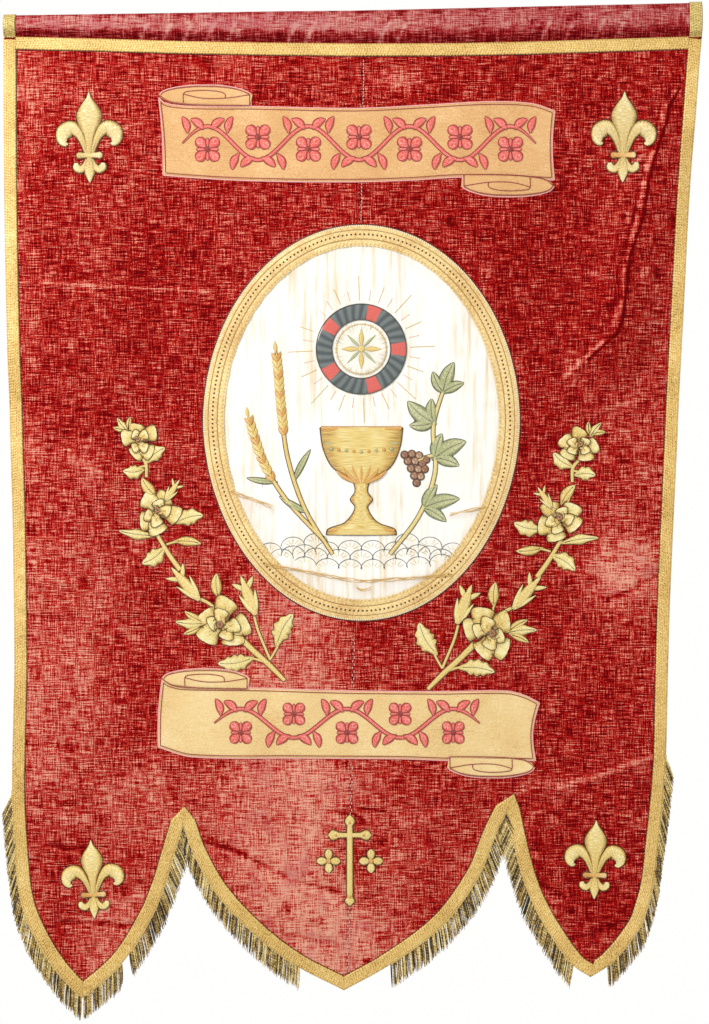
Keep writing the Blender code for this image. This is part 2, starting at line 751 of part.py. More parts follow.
def velvet_panels():
    """The two loom widths, seamed down the middle."""
    half_gap = SEAT_GAP / 2
    top = [row[0] for row in SLEEVE]
    left = edge_line("side_left", hem_inset) + edge_line("lobe_left", hem_inset)[1:]
    centre = edge_line("centre_left", hem_inset)[1:]
    other = edge_line("centre_right", hem_inset)
    seam_top = Vector((seam_x(top_line(0)), top_line(SEAM_TOP) - NECK - SEAT_GAP))
    tip = other[0]
    seam_foot = other[0].lerp(other[1], (SEAM_FOOT - tip.x) / (other[1].x - tip.x))
    left[0] = Vector((left[0].x, top_line(left[0].x) - NECK - SEAT_GAP))
    across = [Vector((x, top_line(x) - NECK - SEAT_GAP)) for x in top if left[0].x < x < seam_top.x - 1]
    shift = Vector((half_gap, 0))
    outline = left + centre + [seam_foot - shift, seam_top - shift] + across[::-1]
    sheet("velvet_left", [outline], 0, VELVET_THICK, VELVET)
    right = [seam_foot + shift] + other[1:] + edge_line("lobe_right", hem_inset)[1:]
    right += edge_line("side_right", hem_inset)[1:]
    right[-1] = Vector((right[-1].x, top_line(right[-1].x) - NECK - SEAT_GAP))
    across = [Vector((x, top_line(x) - NECK - SEAT_GAP)) for x in top if seam_top.x + 1 < x < right[-1].x]
    sheet("velvet_right", [right + across[::-1] + [seam_top + shift]], 0, VELVET_THICK, VELVET)


def x_at(line, z):
    """Where a line that runs up or down passes a height, its end pieces carried on past their ends."""
    pieces = sorted(zip(line, line[1:]), key=lambda piece: abs((piece[0].y + piece[1].y) / 2 - z))
    a, b = pieces[0]
    return a.x + (b.x - a.x) * (z - a.y) / (b.y - a.y)


def galloons():
    """The braid down the sides and round the lobes, mitred at each corner, and under the sleeve."""
    half_gap = Vector((SEAT_GAP / 2, 0))
    for name in EDGES:
        outer, inner = edge_line(name, 0), edge_line(name, BRAID_WIDTH)
        start, end, _ = EDGES[name]
        if start:
            outer[0] = outer[0] + half_gap
            inner[0] = inner[0] + half_gap
        if end:
            outer[-1] = outer[-1] - half_gap
            inner[-1] = inner[-1] - half_gap
        sheet("galloon_" + name, [outer + inner[::-1]], ON_VELVET, BRAID_THICK, GOLD)
    left, right = edge_line("side_left", BRAID_WIDTH), edge_line("side_right", BRAID_WIDTH)
    middle = [row[0] for row in SLEEVE[2:-2]]
    rows = []
    for drop in (BRAID_WIDTH, 0.0):
        first = x_at(left, top_line(SLEEVE[0][0]) - drop) + SEAT_GAP
        last = x_at(right, top_line(SLEEVE[-1][0]) - drop) - SEAT_GAP
        rows.append([Vector((x, top_line(x) - drop)) for x in [first] + middle + [last]])
    sheet("galloon_top", [rows[0] + rows[1][::-1]], ON_VELVET, BRAID_THICK, GOLD)
    side = edge_line("side_left", 0)[0].x
    head_braid("galloon_head_left", SLEEVE[0][0], side + BRAID_WIDTH)
    side = edge_line("side_right", 0)[-1].x
    head_braid("galloon_head_right", side - BRAID_WIDTH, SLEEVE[-1][0])


def walk(line, distance):
    """The point at a distance along a line, and the direction there."""
    for a, b in zip(line, line[1:]):
        length = (b - a).length
        if distance <= length:
            return a.lerp(b, distance / length), (b - a).normalized()
        distance -= length
    return line[-1], (line[-1] - line[-2]).normalized()


def fringe(name, edge, share_from, share_to, lean_from, lean_to, chance):
    """One length of fringe: a narrow heading behind the galloon, and a strand for each piece of it."""
    line = edge_line(edge, FRINGE_BEHIND)
    total = sum((b - a).length for a, b in zip(line, line[1:]))
    start, end = total * share_from, total * share_to
    count = round((end - start) / STRAND_PITCH)
    bm = bmesh.new()
    rings, leans = [], []
    for k in range(count + 1):
        place, along = walk(line, start + (end - start) * k / count)
        inward = Vector((-along.y, along.x))
        back = place + inward * HEADING_DEEP
        rings.append(
            [
                bm.verts.new(world(place.x, place.y, HEADING_OUT[0] + drape(*place))),
                bm.verts.new(world(place.x, place.y, HEADING_OUT[2] + drape(*place))),
                bm.verts.new(world(back.x, back.y, HEADING_OUT[1] + drape(*back))),
            ]
        )
        lean = lean_from + (lean_to - lean_from) * k / count
        leans.append(Vector((-inward.x * lean, -1)).normalized())
    roots = []
    for a, b in zip(rings, rings[1:]):
        roots.append(bm.faces.new((a[0], b[0], b[1], a[1])))
        bm.faces.new((a[1], b[1], b[2], a[2]))
        bm.faces.new((a[2], b[2], b[0], a[0]))
    bm.faces.new(rings[0])
    bm.faces.new(rings[-1][::-1])
    ends = []
    for k, tip in enumerate(bmesh.ops.extrude_discrete_faces(bm, faces=roots)["faces"]):
        length = STRAND_LENGTH + chance.uniform(-STRAND_VARIES, STRAND_VARIES)
        hang = (leans[k] + leans[k + 1]) * 0.5 * length
        middle = tip.calc_center_median() + world(hang.x, hang.y, chance.uniform(-STRAND_SWAY, STRAND_SWAY))
        back_a, back_b, front_b, front_a = tip.verts
        for pair in ((back_a, front_a), (back_b, front_b)):
            place = (pair[0].co + pair[1].co) / 2 - tip.calc_center_median()
            ends.append((pair, middle + place * STRAND_TAPER))
    for pair, place in ends:
        for vert in pair:
            vert.co = place
        bmesh.ops.pointmerge(bm, verts=pair, merge_co=place)
    return finish(name, bm, FRINGE)


def medallion():
    """The oval of silk, its gold frame, and the embroidery on it."""
    sheet("oval_silk", [oval(SILK_INSET)], ON_VELVET, SILK_THICK, SILK)
    sheet("oval_frame", [oval(0)], ON_SILK, BRAID_THICK, GOLD, holes=[oval(FRAME_WIDTH)])
    cup, cup_middle = stroke(CUP)
    sheet("embroidered_cup", [cup], ON_SILK, PADDING["cup"], GOLD_SILK, spines=cup_middle)
    x, z, radius = DISC
    sheet("embroidered_disc", [disc(x, z, radius, DISC_PIECES)], ON_SILK, DISC_THICK, WHITE)
    x, z, hole, radius = RING
    ring_hole = disc(x, z, hole, DISC_PIECES)
    rim = disc(x, z, radius, DISC_PIECES)
    sheet("embroidered_ring", [rim], ON_SILK, RING_THICK, SLATE, holes=[ring_hole])
    outlines, spines = [], []
    for rows in WHEAT_STEMS:
        outline, middle = stroke(rows)
        outlines.append(outline)
        spines += middle[2:]
    sheet("embroidered_wheat", outlines, ON_SILK, PADDING["wheat"], GOLD_SILK, spines=spines)
    outlines, spines = [], []
    for rows in VINE_STEMS:
        outlines.append(stroke(rows)[0])
    for row in VINE_LEAVES:
        outline, vein = leaf(*row)
        outlines.append(outline)
        spines += vein
    for row in GRAPES:
        outlines.append(disc(*row, GRAPE_PIECES))
        spines.append(Vector(row[:2]))
    sheet("embroidered_vine", outlines, ON_SILK, PADDING["vine"], SAGE, spines=spines)


def ribbons():
    """The gold ribbon panels and their curled ends."""
    for name, rows in RIBBONS.items():
        sheet(name, [[Vector(row) for row in rows[::-1]]], ON_VELVET, RIBBON_THICK, GOLD_RIBBON)
    for name, rows in CURLS.items():
        outline, middle = stroke(rows, CURL_PIECES)
        sheet(name, [outline], ON_VELVET, PADDING["curl"], GOLD_RIBBON, spines=middle)


def fleur(name, x, foot, height, width, tilt):
    """One padded fleur-de-lis."""
    c, s = math.cos(math.radians(tilt)), math.sin(math.radians(tilt))

    def place(row, side):
        u, v = row[0] * side * width, row[1]
        return (x + (u * c + v * s) * height, foot + (v * c - u * s) * height, row[2] * height)

    outlines, spines = [], []
    for _, mirrored, rows in FLEUR:
        for side in (1, -1) if mirrored else (1,):
            outline, middle = stroke([place(row, side) for row in rows])
            outlines.append(outline)
            spines += middle
    return sheet(name, outlines, ON_VELVET, PADDING["fleur"], GOLD_SILK, spines=spines)


def sprays():
    """The rose sprays on both sides, three groups each."""
    for group, shapes in SPRAY.items():
        both, drop = SPRAY_MIRROR[group]
        for side in ("left", "right"):
            outlines = [stroke(rows)[0] for rows in shapes["stems"]]
            petals, spines = rose(*shapes["rose"])
            outlines.append(petals)
            for row in shapes["leaves"]:
                outline, vein = leaf(*row)
                outlines.append(outline)
                if row[3] > WIDE_LEAF:
                    spines += vein
            if side == "right":
                outlines = [[Vector((both - p.x, p.y + drop)) for p in o[::-1]] for o in outlines]
                spines = [Vector((both - p.x, p.y + drop)) for p in spines]
            name = f"spray_{group}_{side}"
            sheet(name, outlines, ON_VELVET, PADDING["spray"], GOLD_SILK, spines=spines)


def cross_and_ornaments():
    """The cross at the foot and the ornament on each side of it."""
    outlines = [stroke(rows)[0] for rows in CROSS]
    sheet("cross", outlines, ON_VELVET, CROSS_THICK, GOLD_SILK)
    for name, x, z in QUATREFOILS:
        petals, tops = rose(x, z, QUATREFOIL_RADIUS, QUATREFOIL_PETALS)
        sheet(name, [petals], ON_VELVET, PADDING["quatrefoil"], GOLD_SILK, spines=tops)


def main():
    for obj in list(bpy.data.objects):
        bpy.data.objects.remove(obj, do_unlink=True)
    velvet_panels()
    rod_sleeve()
    galloons()
    chance = random.Random(FRINGE_SEED)
    for row in FRINGES:
        fringe(*row, chance)
    medallion()
    ribbons()
    for row in FLEURS:
        fleur(*row)
    sprays()
    cross_and_ornaments()


main()
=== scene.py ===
import math
import random

import bpy
import numpy as np
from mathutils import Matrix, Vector
from mathutils.geometry import delaunay_2d_cdt
from mathutils.kdtree import KDTree


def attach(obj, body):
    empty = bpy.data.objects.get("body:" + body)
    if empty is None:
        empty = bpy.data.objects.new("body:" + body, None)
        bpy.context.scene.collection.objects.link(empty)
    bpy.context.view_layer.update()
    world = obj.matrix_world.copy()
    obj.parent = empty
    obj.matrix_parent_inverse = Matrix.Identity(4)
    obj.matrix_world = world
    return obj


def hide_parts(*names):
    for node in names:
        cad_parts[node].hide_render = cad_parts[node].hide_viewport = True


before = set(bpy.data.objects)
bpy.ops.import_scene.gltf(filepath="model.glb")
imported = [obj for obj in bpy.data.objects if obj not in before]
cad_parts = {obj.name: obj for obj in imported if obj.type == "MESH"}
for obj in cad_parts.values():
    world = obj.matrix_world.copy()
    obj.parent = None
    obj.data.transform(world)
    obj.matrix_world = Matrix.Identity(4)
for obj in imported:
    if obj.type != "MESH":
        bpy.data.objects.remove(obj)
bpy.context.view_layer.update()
bpy.ops.object.select_all(action="DESELECT")

# Lengths are millimetres seen from the front: x to the right, z up, out towards the viewer from the velvet's back

cloth = {
    "velvetThick": 2.0,
    "velvetFront": 2.0,
    "sunk": 0.25,  # how deep the edge of an applied piece lies in the pile
    "silkThick": 0.9,
    "ribbonThick": 1.1,
    "braidThick": 1.2,
    "braidWidth": 15.5,
    "hemInset": 4.2,
    "mitreReach": 45.0,  # how near a corner the edge is cut to its mitre
    "fringeTop": -850.0,
    "fringeFull": -915.0,
    "neck": 3.0,
    "straightAbove": -66.0,
    "foldsFullBelow": -200.0,
}

folds = [  # x0, z0, x1, z1, height, half width
    (405, -98, 333, -400, 10, 34), (333, -400, 262, -470, 6, 34), (438, -200, 385, -470, -6, 42),
    (300, -120, 250, -330, -4, 45), (-330, -150, -345, -900, 4.5, 60), (-235, -240, -260, -760, -4, 60),
    (-440, -520, -430, -800, -5, 44), (0, -230, 0, -820, 3, 170), (250, -520, 265, -930, -4.5, 55),
    (335, -640, 350, -990, 5.5, 50), (-425, -487, -300, -506, -3.5, 40), (256, -972, 380, -929, 4, 38),
    (-420, -1080, -395, -1170, -4, 45), (-400, -1215, -290, -1235, 8, 70), (-160, -1060, -110, -1150, 4.5, 50),
    (-60, -1235, 40, -1230, -6, 80), (150, -1040, 100, -1140, -4, 45), (245, -1200, 345, -1190, 7, 60),
]

creases = [  # points of the line, height, half width, how much it lightens or darkens the pile's colour: painted shade in troughs and on the shaded side of ridges, painted highlight on their lit side, together with some crushed pile
    ([(405, -98), (391, -121), (388, -140), (371, -191), (365, -216), (358, -261), (342, -309), (338, -348),
      (332, -386), (327, -403), (290, -436), (270, -456)], 2.7, 5, 0.0),
    ([(406, -98), (392, -121), (389, -140), (372, -191), (366, -216), (359, -261), (343, -309), (339, -348),
      (333, -386), (328, -403), (291, -437)], -0.6, 2.7, -0.8),
    ([(388, -118), (383, -138)], 0.3, 6, 0.70), ([(371, -178), (363, -200)], 0.3, 6, 0.75),
    ([(361, -212), (355, -246)], 0.3, 6, 0.60), ([(352, -262), (343, -290)], 0.3, 5, 0.45),
    ([(336, -309), (332, -352)], 0.2, 5, 0.35), ([(328, -372), (320, -396)], 0.3, 6, 0.50),
    ([(306, -418), (262, -458)], 0.3, 6, 0.55),
    ([(350, -150), (364, -146), (378, -140)], 1.0, 4, 0.35),
    ([(344, -196), (356, -186), (366, -176)], 1.0, 4, 0.35),
    ([(393, -103), (379, -135), (366, -180), (350, -250), (336, -300), (328, -350), (318, -392)], -1.6, 6, -0.25),
    ([(-419, -340), (-300, -346), (-188, -351)], 0.9, 3, 0.5),
    ([(212, -390), (320, -393), (415, -388)], 0.7, 3, 0.15),
    ([(-416, -487), (-360, -497), (-306, -506)], -1.5, 5, -0.2),
    ([(-414, -546), (-350, -566), (-294, -588)], 1.3, 5, 0.2),
    ([(-416, -650), (-372, -656)], -1.2, 5, -0.2),
    ([(-416, -706), (-360, -716)], 1.2, 5, 0.2),
    ([(-414, -756), (-350, -762)], -1.2, 6, -0.2),
    ([(-414, -916), (-345, -922)], -1.4, 6, -0.25),
    ([(-414, -956), (-330, -968)], 1.3, 6, 0.25),
    ([(296, -504), (345, -490), (392, -478)], 1.3, 5, 0.15),
    ([(256, -972), (310, -954), (374, -931)], 2.2, 6, 0.50),
    ([(315, -737), (350, -722), (381, -706)], -1.8, 5, -0.5),
    ([(300, -89), (325, -70)], 0.8, 3, 0.4),
    ([(-185, -1040), (-150, -1050), (-81, -1086), (-45, -1097), (-20, -1103)], -2.0, 5, -0.6),
    ([(-150, -1100), (-116, -1094)], -1.2, 5, -0.3),
    ([(-88, -1156), (-15, -1172)], -1.4, 5, -0.35),
    ([(-34, -1002), (-3, -1004), (11, -1014)], -1.1, 4, -0.5),
    ([(4, -999), (36, -1001)], -1.1, 4, -0.5),
    ([(8, -1114), (30, -1106)], -1.2, 4, -0.4),
    ([(-379, -1045), (-331, -1050)], -1.5, 5, -0.4),
    ([(-366, -1140), (-275, -1144)], -1.5, 5, -0.3),
    ([(-366, -1134), (-275, -1137)], 1.1, 4, 0.3),
    ([(-319, -1119), (-256, -1104)], 1.2, 6, 0.3),
    ([(-400, -1000), (-350, -1015)], 1.2, 6, 0.25),
    ([(120, -1000), (60, -1020)], 1.3, 8, 0.2),
    ([(230, -1090), (262, -1110)], -1.2, 6, -0.3),
    ([(330, -1080), (372, -1070)], 1.2, 6, 0.2),
    ([(270, -1160), (340, -1140)], -1.3, 6, -0.3),
    ([(-120, -955), (-40, -966), (40, -960)], 1.0, 8, 0.15),
]

wornPlaces = [  # x, z, half width, half height, turn in degrees, amount
    (-412, -640, 20, 560, 0, 0.15), (-405, -85, 34, 50, 0, 0.20), (-340, -430, 80, 120, 0, -0.02),
    (-375, -860, 62, 130, 0, 0.38), (-300, -1170, 40, 66, 0, 0.42), (-256, -1000, 62, 52, 0, 0.34),
    (-84, -940, 60, 250, 0, 0.68), (-46, -1110, 52, 120, 0, 0.60), (26, -1100, 44, 130, 0, 0.28),
    (49, -86, 26, 13, 0, 0.55), (341, -703, 38, 34, 20, 0.85), (312, -690, 70, 80, 0, 0.08),
    (352, -540, 50, 90, 0, 0.14), (250, -970, 80, 16, 16, 0.06), (290, -1150, 34, 46, 0, 0.08),
    (-150, -1060, 60, 40, -30, 0.30), (-320, -700, 60, 90, 0, 0.12), (120, -1060, 60, 60, 30, 0.14),
    (180, -110, 200, 60, 0, -0.10), (210, -330, 120, 130, 0, -0.12), (-230, -330, 60, 120, 0, -0.08),
    (-160, -80, 60, 20, 0, 0.12), (-290, -150, 50, 60, 0, 0.10), (360, -860, 30, 110, 0, 0.08),
    (0, -1175, 60, 40, 0, 0.30), (300, -1090, 60, 90, 0, -0.14), (320, -880, 70, 60, 0, -0.12),
    (-7, -1058, 34, 46, 0, -0.60), (-360, -580, 50, 40, -12, 0.18), (250, -620, 40, 160, 0, -0.10),
]

corners = {  # outer x, z, hem x, z, inner x, z
    "tipLeft": (-340.5, -1234.5, -340.2, -1228.6, -339.5, -1217.0),
    "notchLeft": (-215.0, -1016.8, -215.3, -1003.5, -213.4, -995.6),
    "tipCentre": (-13.8, -1226.9, -13.8, -1222.1, -13.8, -1211.5),
    "notchRight": (190.4, -1001.3, 192.0, -988.4, 199.0, -980.0),
    "tipRight": (293.8, -1208.0, 293.8, -1202.9, 297.3, -1192.5),
}

edges = {  # start corner, end corner, points of the galloon's outer edge
    "side_left": (None, "tipLeft", [
        (-439.5, -36.5), (-438.8, -212), (-436.3, -362), (-432.5, -512), (-428.8, -637), (-426.5, -837),
        (-428.8, -971), (-426.5, -1035), (-419.5, -1107), (-405.3, -1148), (-377, -1195), (-340.5, -1234.5)]),
    "lobe_left": ("tipLeft", "notchLeft", [
        (-340.5, -1234.5), (-290, -1190), (-253.5, -1132), (-237.3, -1092), (-229.3, -1065), (-215, -1016.8)]),
    "centre_left": ("notchLeft", "tipCentre", [
        (-215, -1016.8), (-200, -1057), (-171.3, -1106), (-120, -1160), (-71.3, -1197), (-13.8, -1226.9)]),
    "centre_right": ("tipCentre", "notchRight", [
        (-13.8, -1226.9), (45, -1194), (108.8, -1146), (153.8, -1085), (176.3, -1030), (190.4, -1001.3)]),
    "lobe_right": ("notchRight", "tipRight", [
        (190.4, -1001.3), (197.5, -1034), (207.9, -1076), (220.4, -1111), (238.8, -1146), (272, -1193),
        (293.8, -1208)]),
    "side_right": ("tipRight", None, [
        (293.8, -1208), (319.5, -1191), (354.6, -1148), (365, -1123), (373.3, -1092), (379.5, -1036),
        (385.6, -974), (388.8, -912), (393.8, -737), (403.8, -525), (412.5, -362), (420, -212), (431.3, -62),
        (433.6, -36.5)]),
}

sleeveRows = [  # x, top, bottom, bulge
    (-438, -6.5, -33.0, 9.0), (-422, -6.0, -33.2, 9.2), (-330, -4.6, -35.2, 10.0), (-219, -3.0, -38.5, 9.2),
    (-110, -1.2, -40.4, 10.4), (0, 0.0, -41.6, 9.6), (120, 2.6, -41.2, 10.6), (220, 5.0, -39.2, 9.6),
    (330, 7.4, -35.6, 10.4), (417, 9.4, -32.8, 9.4), (434, 9.8, -32.2, 9.0),
]
sleeveEnds = sleeveRows[0][0], sleeveRows[-1][0]

oval = {"x": 8.1, "z": -516.0, "rx": 198.0, "rz": 247.0, "narrows": 0.03, "frameWidth": 26.0, "silkInset": 3.0}


# Shader maths

class Value:
    def __init__(self, look, socket):
        self.look = look
        self.socket = socket

    def maths(self, operation, *values):
        return self.look.node("ShaderNodeMath", {"operation": operation}, dict(enumerate(values)))

    def __add__(self, other):
        return self.maths("ADD", self, other)

    def __sub__(self, other):
        return self.maths("SUBTRACT", self, other)

    def __mul__(self, other):
        return self.maths("MULTIPLY", self, other)

    def __truediv__(self, other):
        return self.maths("DIVIDE", self, other)

    def __rsub__(self, other):
        return self.maths("SUBTRACT", other, self)

    __radd__ = __add__
    __rmul__ = __mul__

    def wave(self):  # 0 to 1 and back for each whole number
        return self.maths("SINE", self * (2 * math.pi)) * 0.5 + 0.5

    def saw(self):
        return self.maths("FRACT", self)

    def size(self):
        return self.maths("ABSOLUTE", self)

    def step(self, low, high):
        return self.look.node("ShaderNodeMapRange", {"interpolation_type": "SMOOTHSTEP"},
                              {"Value": self, "From Min": low, "From Max": high})


class Look:
    def __init__(self, name, **settings):
        self.material = bpy.data.materials.new(name)
        self.material.use_nodes = True
        self.tree = self.material.node_tree
        self.shader = self.tree.nodes["Principled BSDF"]
        for socket, value in settings.items():
            self.shader.inputs[socket.replace("_", " ")].default_value = value

    def node(self, kind, settings, values, output=0):
        made = self.tree.nodes.new(kind)
        for name, value in settings.items():
            if name == "stops":
                ramp = made.color_ramp.elements
                while len(ramp) < len(value):
                    ramp.new(0.5)
                for stop, (place, colour) in zip(ramp, value):
                    stop.position = place
                    stop.color = (*colour, 1)
            else:
                setattr(made, name, value)
        for name, value in values.items():
            if isinstance(value, Value):
                self.tree.links.new(value.socket, made.inputs[name])
            else:
                made.inputs[name].default_value = value
        return Value(self, made.outputs[output])

    def place(self):
        return self.node("ShaderNodeTexCoord", {}, {}, "Object")

    def stitchMap(self):
        return self.node("ShaderNodeUVMap", {"uv_map": "stitch"}, {})

    def across(self):  # the piece's own map: metres along it, and 0 to 1 over it
        u = self.node("ShaderNodeSeparateXYZ", {}, {0: self.stitchMap()})
        return u, Value(self, u.socket.node.outputs[1])

    def attribute(self, name):
        return self.node("ShaderNodeAttribute", {"attribute_name": name}, {}, "Fac")

    def noise(self, scale, stretch=(1, 1, 1), detail=2.0, rough=0.5, start=None, shift=(0, 0, 0)):
        moved = self.node("ShaderNodeMapping", {}, {"Vector": start or self.place(), "Scale": stretch,
                                                    "Location": shift})
        return self.node("ShaderNodeTexNoise", {}, {"Vector": moved, "Scale": scale, "Detail": detail,
                                                    "Roughness": rough})

    def blend(self, mask, low, high):
        low, high = [(*c, 1) if isinstance(c, tuple) else c for c in (low, high)]
        return self.node("ShaderNodeMix", {"data_type": "RGBA"}, {0: mask, 6: low, 7: high}, 2)

    def ramp(self, mask, stops):
        return self.node("ShaderNodeValToRGB", {"stops": stops}, {0: mask})

    def colour(self, value):
        self.tree.links.new(value.socket, self.shader.inputs["Base Color"])

    def bump(self, height, distance, strength=1.0):
        bumped = self.node("ShaderNodeBump", {}, {"Height": height, "Distance": distance, "Strength": strength})
        self.tree.links.new(bumped.socket, self.shader.inputs["Normal"])


lightGain = 1.56  # how much brighter than its own colour a front face looks under the studio light


def shade(red, green, blue):  # a seen colour of 0 to 255 as the paint that gives it
    seen = [c / 255 for c in (red, green, blue)]
    return tuple((c / 12.92 if c <= 0.04045 else ((c + 0.055) / 1.055) ** 2.4) / lightGain for c in seen)


def velvetLook(name, tints, rubbed, thready=1.06):
    look = Look(name, Roughness=0.92, Specular_IOR_Level=0.04, Sheen_Weight=0.05, Sheen_Roughness=0.5,
                Sheen_Tint=(0.9, 0.16, 0.14, 1))
    weft = look.noise(1.0, (46, 1, 780), 2.0, 0.6)
    warp = look.noise(1.0, (760, 1, 44), 2.0, 0.6, shift=(3, 0, 7))
    grain = look.noise(900, rough=0.6)
    patch = look.noise(1.0, (17, 1, 14), 4.0, 0.62, shift=(9, 0, 2))
    blotch = look.noise(1.0, (64, 1, 84), 3.0, 0.6, shift=(1, 0, 5))
    island = look.noise(1.0, (38, 1, 46), 4.0, 0.65, shift=(4, 0, 9)).step(0.55, 0.66)
    # this attribute holds rubbed pile together with painted shade and highlight along the creases and on the rod
    # sleeve's roll; on the silk it holds its stains
    wear = look.attribute("wear")
    thread = ((weft - 0.5) * 2.5 + (warp - 0.5) * 1.9 + (grain - 0.5) * 1.5) * (thready - wear.step(0.0, 0.9) * 0.14)
    barePileAndPaintedLight = wear * 0.66 - island * wear * 0.5 + (patch - 0.5) * 0.55 + (blotch - 0.5) * 0.20 + thread + 0.29
    tint = look.ramp(barePileAndPaintedLight, list(zip((0.0, 0.18, 0.36, 0.54, 0.72, 0.90), tints)))
    pinkness = look.noise(1.0, (30, 1, 22), 3.0, 0.6, shift=(6, 0, 3)).step(0.48, 0.66) * wear.step(0.2, 0.6)
    look.colour(look.blend(pinkness * 0.55 * barePileAndPaintedLight.step(0.4, 0.7), tint, rubbed))
    look.bump(weft * 0.5 + warp * 0.5 + grain * 0.4, 0.0006, 0.6)
    return look.material


def backLook():
    look = Look("velvetBack", Roughness=0.9, Specular_IOR_Level=0.2)
    u = look.noise(1.0, (900, 1, 60), 2.0)
    v = look.noise(1.0, (60, 1, 900), 2.0, shift=(4, 0, 4))
    patch = look.noise(12, detail=4.0)
    look.colour(look.ramp((u + v) * 0.45 + (patch - 0.5) * 0.5, [
        (0.2, shade(112, 40, 32)), (0.5, shade(148, 62, 50)), (0.8, shade(178, 98, 80))]))
    look.bump(u + v, 0.0004, 0.5)
    return look.material


def braidLook(name, light, dark, gap, pitch):
    look = Look(name, Roughness=0.46, Metallic=0.2, Specular_IOR_Level=0.5)
    u, v = look.across()
    lean = (v - 0.5).size() * 4.0
    row = (u / pitch + lean * 0.5).wave()
    rib = (v * 7.0).wave()
    fine = (u / (pitch * 0.3) + v * 3.0).wave()
    wild = look.noise(520)
    soil = look.noise(20, detail=3.0)
    lit = row * 0.30 + rib * 0.34 + fine * 0.14 + (wild - 0.5) * 1.4 + (soil - 0.5) * 0.7 + 0.10
    edge = ((v - 0.5).size() * 2.0).step(0.90, 1.0)
    look.colour(look.ramp(lit - edge * 0.15, [(0.0, gap), (0.30, dark), (0.66, light), (1.0, shade(255, 238, 172))]))
    look.bump(row * 0.5 + rib * 0.4 + fine * 0.3 + wild * 0.5, 0.0004, 0.7)
    return look.material


def frameLook():
    look = Look("ovalBraid", Roughness=0.5, Metallic=0.15, Specular_IOR_Level=0.45)
    u, v = look.across()
    rope = (u / 0.0026 + v * 2.4).wave()
    weave = (u / 0.0018).wave() * 0.5 + (v * 26.0).wave() * 0.5
    outer = 1.0 - v.step(0.05, 0.09)
    line = 1.0 - ((v - 0.24).size().step(0.008, 0.026) * (v - 0.68).size().step(0.010, 0.030))
    picot = (1.0 - (v - 0.92).size().step(0.02, 0.06)) * (u / 0.0052).wave()
    dotU = ((u / 0.0054).saw() - 0.5) * 5.4
    dotV = (v - 0.455) * 26.0
    dot = 1.0 - (dotU * dotU + dotV * dotV).step(0.8, 2.0)
    wild = look.noise(420)
    soil = look.noise(18, detail=3.0)
    ground = look.ramp(weave * 0.25 + (wild - 0.5) * 1.1 + soil * 0.8, [
        (0.15, shade(196, 150, 84)), (0.42, shade(232, 192, 122)), (0.72, shade(250, 224, 158))])
    corded = look.ramp(rope * 0.7 + (wild - 0.5) * 0.5, [
        (0.1, shade(206, 170, 112)), (0.5, shade(250, 232, 190)), (0.9, shade(255, 250, 226))])
    tint = look.blend(outer, ground, corded)
    tint = look.blend(line * 0.8, tint, shade(150, 104, 48))
    tint = look.blend(picot * 0.5, tint, shade(150, 140, 76))
    look.colour(look.blend(dot, tint, shade(70, 40, 18)))
    look.bump(rope * outer + weave * 0.3 + wild * 0.4 - line * 1.4 - dot * 2.0, 0.0006, 0.7)
    return look.material


def satinLook(name, light, dark, pitch=0.0009):
    look = Look(name, Roughness=0.42, Specular_IOR_Level=0.55, Sheen_Weight=0.1)
    u, v = look.across()
    wild = look.noise(260)
    thread = (u / pitch + (wild - 0.5) * 0.7).wave()
    long = look.noise(1.0, (1100, 5, 1), 2.0, start=look.stitchMap())
    tone = look.attribute("tone")
    # rim is painted shade towards both edges of each padded stroke, and the palest stop of the ramp is a painted
    # highlight
    rim = ((v - 0.5).size() * 2.0).step(0.50, 1.0)
    lit = 0.64 + (long - 0.5) * 1.3 + (thread - 0.5) * 0.24 + tone * 0.4 - rim * 0.38
    look.colour(look.ramp(lit, [(0.1, tuple(c * 0.45 for c in dark)), (0.4, dark), (0.8, light),
                                (1.0, shade(255, 250, 214))]))
    look.bump(thread + long * 0.8, 0.0003, 0.75)
    return look.material


def silkLook():
    look = Look("agedSilk", Roughness=0.5, Specular_IOR_Level=0.4, Sheen_Weight=0.1)
    streak = look.noise(1.0, (150, 1, 8), 4.0, 0.65)
    where = look.noise(1.0, (15, 1, 6), 3.0, 0.6, shift=(2, 0, 8))
    mark = look.noise(1.0, (300, 1, 40), 2.0, 0.6, shift=(7, 0, 1))
    cloud = look.noise(1.0, (26, 1, 18), 3.0, 0.6, shift=(3, 0, 3))
    weave = look.noise(1.0, (1500, 1, 1500), 1.0)
    stain = look.attribute("wear")
    mask = streak.step(0.44, 0.66) * where.step(0.34, 0.62) + cloud.step(0.5, 0.8) * 0.3
    tint = look.blend(mask * 0.72, shade(253, 251, 244), shade(224, 196, 140))
    tint = look.blend(stain, tint, shade(200, 150, 84))
    look.colour(look.blend(mark.step(0.68, 0.76) * where.step(0.4, 0.6) * 0.8, tint, shade(110, 76, 50)))
    look.bump(streak * 0.6 + weave * 0.4, 0.0006, 0.6)
    return look.material


def ribbonLook(name, light, dark):
    look = Look(name, Roughness=0.55, Metallic=0.1, Specular_IOR_Level=0.4)
    grain = look.noise(620, (1, 1, 1.3), 2.0)
    weft = look.noise(1.0, (60, 1, 700), 2.0)
    soil = look.noise(14, detail=4.0)
    look.colour(look.ramp(grain * 0.75 + weft * 0.35 + (soil - 0.5) * 0.6, [
        (0.18, shade(176, 126, 62)), (0.42, dark), (0.66, light), (0.95, shade(255, 236, 190))]))
    look.bump(grain + weft * 0.6, 0.0004, 0.6)
    return look.material


